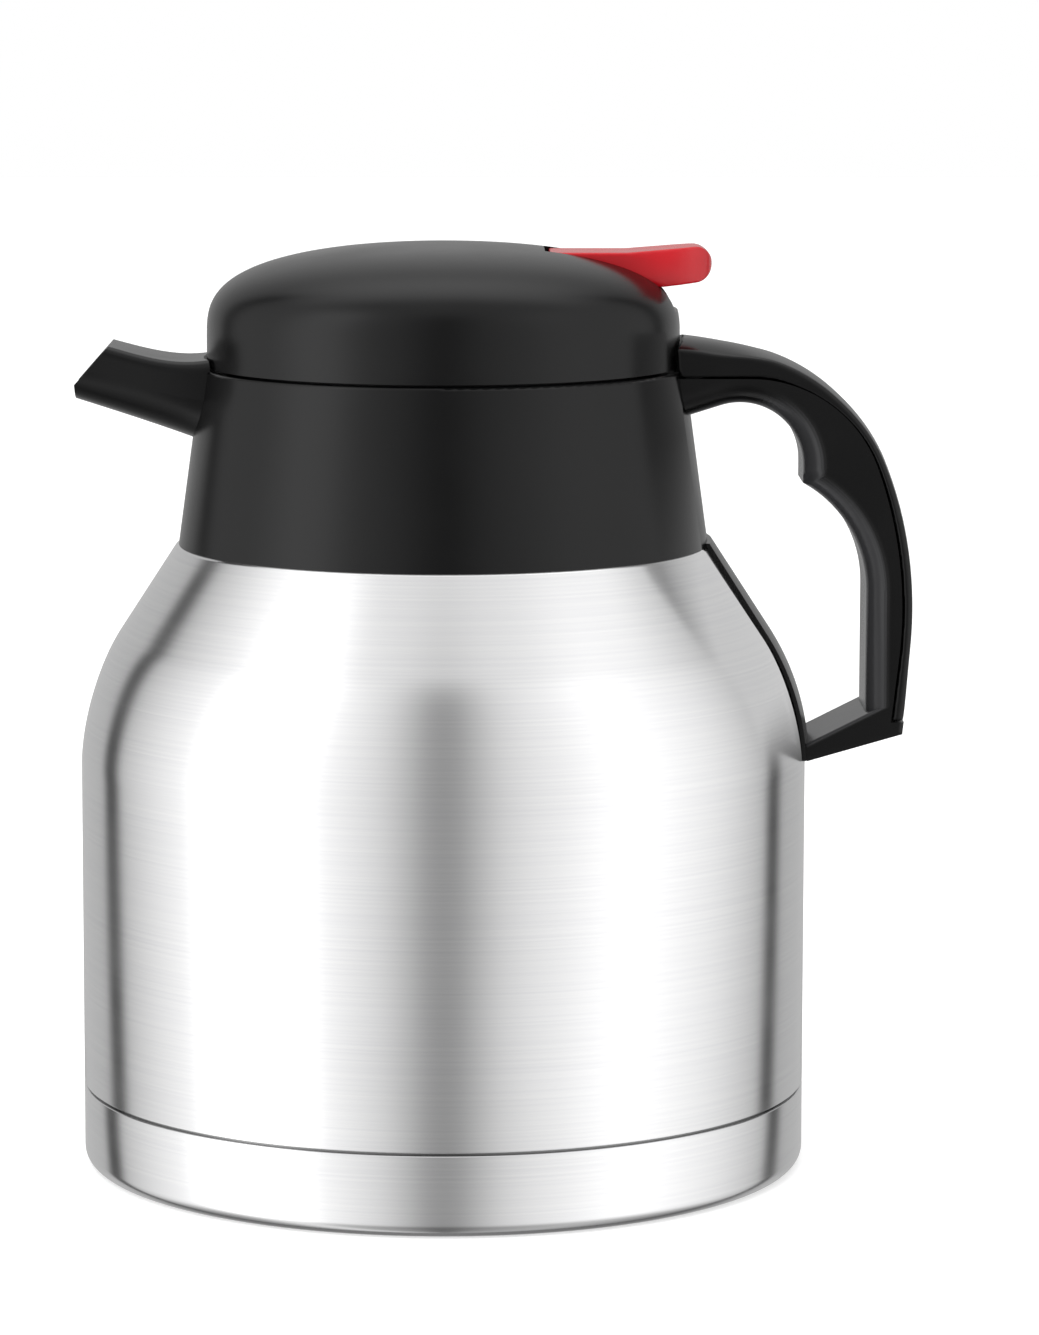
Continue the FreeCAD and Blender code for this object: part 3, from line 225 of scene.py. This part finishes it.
outer_brush = dict(dark=(0.86, 0.86, 0.87), light=(0.91, 0.91, 0.91), smooth=0.17, rough=0.21, relief=0.08)
# Painted shade: below the top of its step the shell's colour turns dark, as shade in the gap between shell
# and cup.
painted_step_shade = (0.20, 0.20, 0.20, 1)
shell_steel = brushed_steel("shell_steel", **outer_brush)
shell_tree = shell_steel.node_tree
shell_colour = shell_tree.nodes["Principled BSDF"].inputs["Base Color"]
shell_height = axes_of(shell_tree, "ShaderNodeTexCoord", "Object")["Z"]
above_step = ranged(shell_tree, shell_height, start=16.60 * mm, end=16.74 * mm)
brushed_colour = shell_colour.links[0].from_socket
shell_tree.links.new(mixed(shell_tree, above_step, painted_step_shade, brushed_colour), shell_colour)
shell.data.materials.append(shell_steel)
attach(shell, "jug")
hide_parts("outer_shell")


# Base cup
# Pressed steel cup pushed over the stepped foot of the shell, with a rounded corner and a standing ring.
# It has the shell's brushed finish, and the fine gap above it shows as a dark line of shade painted on the
# shell's step.

cup_top = (72.5, 16.2)
cup_corner = (72.5, 0.0)
cup_inside = (71.8, 0.7)
cup = turned("base_cup_steel", [
    (0, 2.5), (60.8, 2.5), (63.3, 0), cup_corner, cup_top, (71.8, 16.2), cup_inside,
    (63.3, 0.7), (60.8, 3.2), (0, 3.2),
], [
    (cup_corner, 3.2, 10),
    (cup_inside, 2.5, 6),
    (cup_top, 0.3, 3),
])
cup_steel = brushed_steel("cup_steel", **outer_brush)
cup.data.materials.append(cup_steel)
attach(cup, "jug")
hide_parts("base_cup")


# Liner, vacuum disc, sealing pellet, getter and gasket
# Satin steel vessel inside the vacuum space, the disc that closes it, and what is sealed in with it.
# They are welded or pressed in place, and only the liner and its silicone gasket are ever seen.

def carried_over(material, *names):
    """A finish for pieces whose solids are already right."""
    for name in names:
        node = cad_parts[name]
        node.data.materials.clear()
        node.data.materials.append(material)


liner_steel = brushed_steel("liner_steel", dark=(0.62, 0.62, 0.63), light=(0.74, 0.74, 0.74),
                            smooth=0.22, rough=0.30, relief=0.3)
carried_over(liner_steel, "inner_flask", "vacuum_base")


def speckled_metal(name, specks_per_metre, dark, light, smooth, rough):
    """Unbrushed metal with faint specks in its colour and shine."""
    material, tree, shader = finish_of(name)
    shader.inputs["Metallic"].default_value = 1.0
    specks = noise(tree, (specks_per_metre, specks_per_metre, specks_per_metre))
    coloured(tree, shader, specks, dark, light)
    shined(tree, shader, specks, smooth, rough)
    return material


dull_metal = speckled_metal("dull_metal", 900, dark=(0.42, 0.42, 0.43), light=(0.58, 0.58, 0.58),
                            smooth=0.40, rough=0.55)
carried_over(dull_metal, "vacuum_plug", "getter")


def soft_silicone(name, dark, light):
    """Matt silicone rubber with a faint dusty bloom."""
    material, tree, shader = finish_of(name)
    shader.inputs["Specular IOR Level"].default_value = 0.35
    bloom = noise(tree, scale=(260, 260, 260))
    pores = noise(tree, scale=(4000, 4000, 4000))
    coloured(tree, shader, bloom, dark, light)
    shined(tree, shader, bloom, smooth=0.55, rough=0.7)
    raised(tree, shader, pores, strength=0.2, height=0.02 * mm)
    return material


clear_silicone = soft_silicone("clear_silicone", dark=(0.50, 0.49, 0.47), light=(0.60, 0.59, 0.57))
carried_over(clear_silicone, "neck_gasket")


# Neck collar and spout
# Black moulded collar, pressed on over the strap and the neck, and the spout welded on round its window.
# Both have a fine moulded grain and a satin shine.

def grained_plastic(name, dark, light, smooth, rough):
    """Moulded plastic: fine grain, faint flow clouds and a satin shine."""
    material, tree, shader = finish_of(name)
    shader.inputs["Specular IOR Level"].default_value = 0.30
    clouds = noise(tree, scale=(45, 45, 45), detail=4.0)
    grain = noise(tree, scale=(2200, 2200, 2200), detail=2.0)
    coloured(tree, shader, clouds, dark, light)
    shined(tree, shader, clouds, smooth, rough)
    raised(tree, shader, grain, strength=0.10, height=0.03 * mm)
    return material


black_moulding = dict(dark=(0.0014, 0.0014, 0.0015), light=(0.0026, 0.0026, 0.0027), smooth=0.22, rough=0.27)
collar_plastic = grained_plastic("collar_plastic", **black_moulding)
carried_over(collar_plastic, "neck_collar", "spout")


# Handle
# Strap down the shoulder, hollow grip with its finger notch, snap-on back, and two hidden screws.
# Strap, grip and back are of the collar's black plastic, and back and grip meet in a fine parting line.
# The back is crowned from side to side near the lid, and a pale highlight is painted on the grip's faces
# that turn in towards the fingers.

handle_plastic = grained_plastic("handle_plastic", **black_moulding)
carried_over(handle_plastic, "handle_strap")

rub_factor = 0.5


def copy_of(piece, name):
    """A copy with its own mesh, selected alone."""
    bpy.ops.object.select_all(action="DESELECT")
    copy = bpy.data.objects.new(name, piece.data.copy())
    bpy.context.scene.collection.objects.link(copy)
    copy.select_set(True)
    bpy.context.view_layer.objects.active = copy
    return copy


def merged_copy(name, node):
    """A piece that starts from a solid's own surface, with its loose faces joined."""
    piece = copy_of(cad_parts[node], name)
    piece.data.materials.clear()
    bpy.ops.object.mode_set(mode="EDIT")
    bpy.ops.mesh.select_all(action="SELECT")
    bpy.ops.mesh.remove_doubles(threshold=weld_distance)
    bpy.ops.object.mode_set(mode="OBJECT")
    return piece


def evened(piece, grain, passes):
    """Works a piece into a fine even surface and rubs its edges soft."""
    even = piece.modifiers.new("even", "REMESH")
    even.mode = "VOXEL"
    even.voxel_size = grain
    bpy.ops.object.modifier_apply(modifier=even.name)
    polish = piece.modifiers.new("polish", "SMOOTH")
    polish.factor = rub_factor
    polish.iterations = passes
    bpy.ops.object.modifier_apply(modifier=polish.name)
    bpy.ops.object.shade_smooth()


def eased(value, low, high):
    """How far a place has come from one mark, in millimetres, to another: a soft 0 to 1."""
    share = min(1.0, max(0.0, (value / mm - low) / (high - low)))
    return share * share * (3 - 2 * share)


def between(first, second, share):
    """A size on the way from one to another."""
    return first + (second - first) * share


back = merged_copy("handle_back", "handle_cover")
bpy.ops.object.mode_set(mode="EDIT")
bpy.ops.mesh.select_all(action="SELECT")
bpy.ops.mesh.bisect(plane_co=(0, 0, 0), plane_no=(0, 1, 0))
bpy.ops.object.mode_set(mode="OBJECT")

# The ridge is the line down the middle of the back, found on its outer side and filled in with close points.
finger_gap = Vector((64 * mm, 0, 118 * mm))
middle_width = 0.01 * mm
lowest_lean = -0.3
least_outward = 0.6
ridge_step = 0.5 * mm
ridge_corners = []
for vertex in back.data.vertices:
    from_gap = (vertex.co - finger_gap).normalized()
    on_outside = vertex.normal.z > lowest_lean and vertex.normal.dot(from_gap) > least_outward
    if abs(vertex.co.y) < middle_width and on_outside:
        ridge_corners.append(vertex.co.copy())
ridge_corners.sort(key=lambda point: math.atan2(point.z - finger_gap.z, point.x - finger_gap.x))
ridge = []
for start, end in zip(ridge_corners, ridge_corners[1:]):
    steps = math.ceil((end - start).length / ridge_step)
    ridge += [start.lerp(end, step / steps) for step in range(steps)]
nearest_ridge = kdtree.KDTree(len(ridge))
for number, point in enumerate(ridge):
    nearest_ridge.insert(point, number)
nearest_ridge.balance()

# The back is then shaved along its bend and crowned to its sides, and less so with depth below the ridge.
half_width = 12.5 * mm
slope_span = 8
root_depth = 5.0 * mm
grip_depth = 2.2 * mm
depth_marks = (68, 90)
bend_shave = 1.2 * mm
shave_starts = (47, 64)
shave_ends = (78, 96)
root_crown = 2.0 * mm
grip_crown = 0.6 * mm
crown_marks = (53, 67)
crown_power = 2.4
foot_marks = (91, 106)
evened(back, grain=0.36 * mm, passes=6)
for vertex in back.data.vertices:
    x, y, z = vertex.co
    top, number = nearest_ridge.find((x, 0, z))[:2]
    run = ridge[min(number + slope_span, len(ridge) - 1)] - ridge[max(number - slope_span, 0)]
    outward = Vector((run.z, 0, -run.x)).normalized()
    depth = max(0.0, (top - Vector((x, 0, z))).dot(outward))
    worked_depth = between(root_depth, grip_depth, eased(x, *depth_marks))
    shaved = bend_shave * eased(x, *shave_starts) * (1 - eased(x, *shave_ends))
    side_fall = between(root_crown, grip_crown, eased(x, *crown_marks)) * eased(z, *foot_marks)
    crowned = side_fall * (abs(y) / half_width) ** crown_power
    vertex.co -= outward * (shaved + crowned) * max(0.0, 1 - depth / worked_depth)
back.data.materials.append(handle_plastic)
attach(back, "jug")
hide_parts("handle_cover")

# Painted highlight: faces of the grip that turn in towards the fingers are coloured paler, as light falling
# on them.
painted_highlight_pale = (0.040, 0.040, 0.042, 1)
grip_plastic = grained_plastic("grip_plastic", **black_moulding)
grip_tree = grip_plastic.node_tree
grip_colour = grip_tree.nodes["Principled BSDF"].inputs["Base Color"]
grip_facing = axes_of(grip_tree, "ShaderNodeNewGeometry", "True Normal")["X"]
inward_highlight_share = ranged(grip_tree, grip_facing, start=-0.12, end=-0.42, high=0.9, shape="SMOOTHSTEP")
moulded_colour = grip_colour.links[0].from_socket
grip_tree.links.new(mixed(grip_tree, inward_highlight_share, moulded_colour, painted_highlight_pale), grip_colour)
carried_over(grip_plastic, "handle_body")

bright_steel = speckled_metal("bright_steel", 600, dark=(0.62, 0.62, 0.63), light=(0.74, 0.74, 0.75),
                              smooth=0.16, rough=0.26)
carried_over(bright_steel, "handle_screws")


# Lid, stopper and seals
# Domed black lid, moulded hollow, with a slot and a well for the lever and two lugs for its pin.
# The stopper under it screws into the collar by four thread lugs on each. A flat ring and an O-ring of
# silicone seal it, and a small ring seals the valve's rod.

def dome_section(radius, top, rise, low):
    """Half section of a dome: a straight wall that rounds over into a crown, as a squared-off oval does."""
    width_power = 2 / 2.2
    height_power = 2 / 3.1
    wall_to_crown = 40
    section = [(0, low), (radius, low)]
    for step in range(wall_to_crown):
        turn = math.radians(90 - 90 * step / wall_to_crown)
        width = radius * math.sin(turn) ** width_power
        height = top - rise * (1 - math.cos(turn) ** height_power)
        section.append((width, height))
    return [*section, (0, top)]


def block(low, high):
    """A plain block from corner to corner, in millimetres, to cut with."""
    bpy.ops.object.select_all(action="DESELECT")
    bpy.ops.mesh.primitive_cube_add(size=mm, location=[(a + b) / 2 * mm for a, b in zip(low, high)])
    piece = bpy.context.object
    piece.scale = [b - a for a, b in zip(low, high)]
    bpy.ops.object.transform_apply(location=True, rotation=True, scale=True)
    return piece


def cut(piece, tool):
    """Takes one shape out of another and clears it away."""
    bpy.ops.object.select_all(action="DESELECT")
    piece.select_set(True)
    bpy.context.view_layer.objects.active = piece
    taken = piece.modifiers.new("taken", "BOOLEAN")
    taken.operation = "DIFFERENCE"
    taken.solver = "EXACT"
    taken.object = tool
    bpy.ops.object.modifier_apply(modifier=taken.name)
    bpy.data.objects.remove(tool)


lid_radius = 47.0
lid_wall = 2.2
lid_low = 160.438
lid_top = 184.738
crown_rise = 18.6
slot_front = 20.0
slot_half = 8.5
slot_floor = 172.94
well_front = 31.0
well_half = 10.3
well_floor = 171.54
well_wall = 1.8
pin_x = 24.0
pin_z = 177.438
pin_lug = 3.2
pin_lug_inside = 8.0
pin_lug_outside = 10.7
open_below = 1
cut_beyond = 5
dome = turned("lid_dome", dome_section(lid_radius, lid_top, crown_rise, lid_low))
room = turned("lid_room", dome_section(lid_radius - lid_wall, lid_top - lid_wall, crown_rise - lid_wall,
                                       lid_low - open_below))
cut(room, block((well_front, -well_half, well_floor - well_wall), (lid_radius, well_half, lid_top)))
for left, right in ((-pin_lug_outside, -pin_lug_inside), (pin_lug_inside, pin_lug_outside)):
    cut(room, block((pin_x - pin_lug, left, pin_z - pin_lug), (pin_x + pin_lug, right, lid_top)))
cut(dome, room)
cut(dome, block((slot_front, -slot_half, slot_floor),
                (lid_radius + cut_beyond, slot_half, lid_top + cut_beyond)))
cut(dome, block((well_front + well_wall, -slot_half, well_floor),
                (lid_radius + cut_beyond, slot_half, lid_top)))
bpy.ops.object.shade_smooth_by_angle(angle=smooth_angle)
dome.data.materials.append(collar_plastic)
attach(dome, "lid")
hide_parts("lid_cover")

stopper_plastic = grained_plastic("stopper_plastic", dark=(0.020, 0.020, 0.021), light=(0.030, 0.030, 0.031),
                                  smooth=0.36, rough=0.44)
carried_over(stopper_plastic, "stopper", "stopper_base", "seal_retainer")
carried_over(clear_silicone, "stopper_seal", "lid_o_ring", "stem_seal")

thread_lead = 20.0
lug_sweep = 50.0
lug_bearings = (45, 135, 225, 315)


def thread_lug(name, section):
    """One lug of the four-start thread: drawn, swept up the thread's slope, closed and softened."""
    lug = drawn(name, section)
    bpy.ops.object.mode_set(mode="OBJECT")
    sweep = lug.modifiers.new("sweep", "SCREW")
    sweep.axis = "Z"
    sweep.angle = math.radians(lug_sweep)
    sweep.screw_offset = thread_lead * lug_sweep / 360 * mm
    sweep.steps = 24
    sweep.render_steps = 24
    bpy.ops.object.modifier_apply(modifier=sweep.name)
    bpy.ops.object.mode_set(mode="EDIT")
    bpy.ops.mesh.select_all(action="SELECT")
    bpy.ops.mesh.fill_holes(sides=0)
    bpy.ops.mesh.select_all(action="SELECT")
    bpy.ops.mesh.normals_make_consistent(inside=False)
    bpy.ops.object.mode_set(mode="OBJECT")
    soft_edges = lug.modifiers.new("soft_edges", "BEVEL")
    soft_edges.width = 0.25 * mm
    soft_edges.segments = 2
    soft_edges.limit_method = "ANGLE"
    soft_edges.angle_limit = math.radians(40)
    bpy.ops.object.modifier_apply(modifier=soft_edges.name)
    bpy.ops.object.shade_smooth_by_angle(angle=math.radians(30))
    return lug


def turned_copy(piece, name, bearing):
    """A copy of a lug, turned round the axis so that its middle lies on a bearing."""
    copy = copy_of(piece, name)
    copy.rotation_euler.z = math.radians(bearing - lug_sweep / 2)
    bpy.ops.object.transform_apply(location=True, rotation=True, scale=True)
    return copy


stopper_pattern = thread_lug("stopper_pattern", [(42.7, 149.5), (44.1, 149.8), (44.1, 150.7), (42.7, 151.4)])
collar_pattern = thread_lug("collar_pattern", [(44.9, 151.9), (43.5, 152.3), (43.5, 153.1), (44.9, 153.5)])
for number, bearing in enumerate(lug_bearings, 1):
    stopper_lug = turned_copy(stopper_pattern, f"stopper_thread_{number}", bearing)
    stopper_lug.data.materials.append(stopper_plastic)
    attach(stopper_lug, "lid")
    collar_lug = turned_copy(collar_pattern, f"collar_thread_{number}", bearing)
    collar_lug.data.materials.append(collar_plastic)
    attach(collar_lug, "jug")
bpy.data.objects.remove(stopper_pattern)
bpy.data.objects.remove(collar_pattern)


# Valve
# Rod with its carrier, silicone disc, head and closing spring, lifted by the lever's fork.
# The spring is wound from bright steel wire. The rest is moulded.

carried_over(stopper_plastic, "valve_stem", "stem_cap")
carried_over(clear_silicone, "valve_seal")

closing_spring = merged_copy("closing_spring", "valve_spring")
bpy.ops.object.shade_smooth_by_angle(angle=math.radians(40))
closing_spring.data.materials.append(bright_steel)
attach(closing_spring, "lid")
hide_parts("valve_spring")
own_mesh(closing_spring)


# Lever
# Glossy red thumb lever on a steel pin across the lid's well.
# It is one polished moulding with soft edges, and its rounded nose stands out over the lid's edge.

carried_over(bright_steel, "lever_pin")

nose_marks = (36, 48)
thumb = merged_copy("thumb_lever", "lever")
evened(thumb, grain=0.26 * mm, passes=14)
nose = thumb.vertex_groups.new(name="nose")
for vertex in thumb.data.vertices:
    nose.add([vertex.index], eased(vertex.co.x, *nose_marks), "REPLACE")
bulge = thumb.modifiers.new("bulge", "SMOOTH")
bulge.use_x = False
bulge.use_z = False
bulge.vertex_group = nose.name
bulge.factor = rub_factor
bulge.iterations = 600
bpy.ops.object.modifier_apply(modifier=bulge.name)

red_gloss, red_tree, red_shader = finish_of("red_gloss")
red_shader.inputs["Specular IOR Level"].default_value = 0.40
red_shader.inputs["Coat Weight"].default_value = 0.15
red_shader.inputs["Coat Roughness"].default_value = 0.06
red_clouds = noise(red_tree, scale=(60, 60, 60))
coloured(red_tree, red_shader, red_clouds, dark=(0.46, 0.005, 0.011), light=(0.56, 0.008, 0.015))
shined(red_tree, red_shader, red_clouds, smooth=0.20, rough=0.28)
thumb.data.materials.append(red_gloss)
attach(thumb, "lever")
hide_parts("lever")


# Studio
# Pale floor, soft surround that the steel mirrors, small white card by the handle, broad lamp, and camera.
# The surround is drawn by direction: bright at both sides, darker in front and in two narrow strips behind,
# even overhead and dimmer below. Only what is shiny sees the card, and the camera sees plain white.

bpy.ops.object.select_all(action="DESELECT")
bpy.ops.mesh.primitive_plane_add(size=8.0, location=(0, 0, 0))
floor = bpy.context.object
floor.name = "floor"
bpy.ops.object.mode_set(mode="EDIT")
bpy.ops.mesh.select_all(action="SELECT")
bpy.ops.mesh.subdivide(number_cuts=3)
bpy.ops.object.mode_set(mode="OBJECT")
floor.visible_glossy = False
white = (1, 1, 1, 1)
floor_finish, _, floor_shader = finish_of("pale_floor")
floor_shader.inputs["Roughness"].default_value = 0.8
floor_shader.inputs["Specular IOR Level"].default_value = 0.1
floor_shader.inputs["Base Color"].default_value = (0.90, 0.90, 0.90, 1)
floor_shader.inputs["Emission Color"].default_value = white
floor_shader.inputs["Emission Strength"].default_value = 0.36
floor.data.materials.append(floor_finish)


def summed(tree, operation, first, second):
    """One step of sums on a value, with a plain number or another value."""
    step = tree.nodes.new("ShaderNodeMath")
    step.operation = operation
    tree.links.new(first, step.inputs[0])
    if isinstance(second, float):
        step.inputs[1].default_value = second
    else:
        tree.links.new(second, step.inputs[1])
    return step.outputs["Value"]


brightness_by_bearing = [
    (-180, 0.52), (-137, 0.48), (-133, 0.05), (-127, 0.05), (-122, 0.55), (-100, 0.90), (-90, 1.05),
    (-80, 1.50), (-70, 2.00), (-54, 2.00), (-46, 1.45), (-38, 1.08), (-29, 0.92), (-19, 0.74),
    (-10, 0.50), (-5, 0.35), (0, 0.30), (5, 0.34), (10, 0.48), (19, 0.72), (29, 0.87), (38, 0.97),
    (47, 1.10), (56, 1.22), (68, 1.22), (78, 1.10), (94, 0.92), (122, 0.52), (126, 0.05), (131, 0.05),
    (136, 0.45), (180, 0.52),
]
below_dim = (0.40, 0.40, 0.40, 1)
surround = bpy.data.worlds.new("surround")
bpy.context.scene.world = surround
surround.use_nodes = True
sky = surround.node_tree
heading = axes_of(sky, "ShaderNodeTexCoord", "Generated")
forward = summed(sky, "MULTIPLY", heading["Y"], -1.0)
sideways = summed(sky, "ARCTAN2", heading["X"], forward)
round_share = summed(sky, "ADD", summed(sky, "DIVIDE", sideways, math.tau), 0.5)
strips = sky.nodes.new("ShaderNodeValToRGB")
sky.links.new(round_share, strips.inputs["Fac"])
for degrees, _ in brightness_by_bearing[1:-1]:
    strips.color_ramp.elements.new(degrees / 360 + 0.5)
for strip, (degrees, brightness) in zip(strips.color_ramp.elements, brightness_by_bearing):
    strip.position = degrees / 360 + 0.5
    strip.color = (brightness, brightness, brightness, 1)
overhead = ranged(sky, heading["Z"], start=0.62, end=0.95, shape="SMOOTHSTEP")
ceiling = ranged(sky, heading["Y"], start=-0.10, end=0.20, low=0.82, high=1.50)
below = ranged(sky, heading["Z"], start=-0.45, end=-0.80, shape="SMOOTHSTEP")
walls_and_ceiling = mixed(sky, overhead, strips.outputs["Color"], ceiling)
all_round = mixed(sky, below, walls_and_ceiling, below_dim, blend="MULTIPLY")
seen = sky.nodes.new("ShaderNodeLightPath")
backdrop = mixed(sky, seen.outputs["Is Camera Ray"], all_round, white)
sky.links.new(backdrop, sky.nodes["Background"].inputs["Color"])

bpy.ops.object.select_all(action="DESELECT")
bpy.ops.mesh.primitive_plane_add(size=1.0, location=(0, 0, 0))
card = bpy.context.object
card.name = "white_card"
bpy.ops.object.mode_set(mode="EDIT")
bpy.ops.mesh.select_all(action="SELECT")
bpy.ops.transform.resize(value=(52 * mm, 92 * mm, 1))
bpy.ops.transform.rotate(value=math.radians(-90), orient_axis="X", center_override=(0, 0, 0))
bpy.ops.transform.translate(value=(73 * mm, -13.4 * mm, 122 * mm))
bpy.ops.mesh.subdivide(number_cuts=3)
bpy.ops.object.mode_set(mode="OBJECT")
card.visible_camera = False
card.visible_diffuse = False
card.visible_shadow = False
card.visible_transmission = False
card_white, card_tree, _ = finish_of("card_white")
card_height = axes_of(card_tree, "ShaderNodeTexCoord", "Object")["Z"]
glow = card_tree.nodes.new("ShaderNodeEmission")
glow_strength = ranged(card_tree, card_height, start=126 * mm, end=148 * mm, low=0.62, high=0.28)
card_tree.links.new(glow_strength, glow.inputs["Strength"])
clear = card_tree.nodes.new("ShaderNodeBsdfTransparent")
facing = card_tree.nodes.new("ShaderNodeNewGeometry")
faded_below = ranged(card_tree, card_height, start=100 * mm, end=77 * mm, shape="SMOOTHSTEP")
one_sided = card_tree.nodes.new("ShaderNodeMixShader")
card_tree.links.new(summed(card_tree, "MAXIMUM", facing.outputs["Backfacing"], faded_below),
                    one_sided.inputs["Fac"])
card_tree.links.new(glow.outputs["Emission"], one_sided.inputs[1])
card_tree.links.new(clear.outputs["BSDF"], one_sided.inputs[2])
card_tree.links.new(one_sided.outputs["Shader"], card_tree.nodes["Material Output"].inputs["Surface"])
card.data.materials.append(card_white)


def stood(thing, place, target):
    """Stands the lamp or the camera at a place, turned towards a target."""
    thing.location = place
    thing.rotation_euler = (target - place).to_track_quat("-Z", "Y").to_euler()
    bpy.context.scene.collection.objects.link(thing)


lamp_data = bpy.data.lights.new("overhead_lamp", "AREA")
lamp_data.size = 0.8
lamp_data.energy = 5.0
lamp = bpy.data.objects.new("overhead_lamp", lamp_data)
lamp.visible_glossy = False
stood(lamp, place=Vector((-0.15, -0.25, 1.1)), target=Vector((0, 0, 0.1)))

bpy.context.scene.view_settings.view_transform = "Standard"

photo_height = 1335
focal_pixels = 5410
shift_pixels = 76.2
sensor_width = 36.0
camera_aim = Vector((0, 0, 99.6 * mm))
camera_reach = 1084.9 * mm
camera_rise = math.radians(7.99)
camera_data = bpy.data.cameras.new("camera")
camera_data.sensor_width = sensor_width
camera_data.lens = focal_pixels * sensor_width / photo_height
camera_data.shift_x = shift_pixels / photo_height
camera = bpy.data.objects.new("camera", camera_data)
camera_way = Vector((0, -math.cos(camera_rise), math.sin(camera_rise)))
stood(camera, place=camera_aim + camera_way * camera_reach, target=camera_aim)
bpy.context.scene.camera = camera
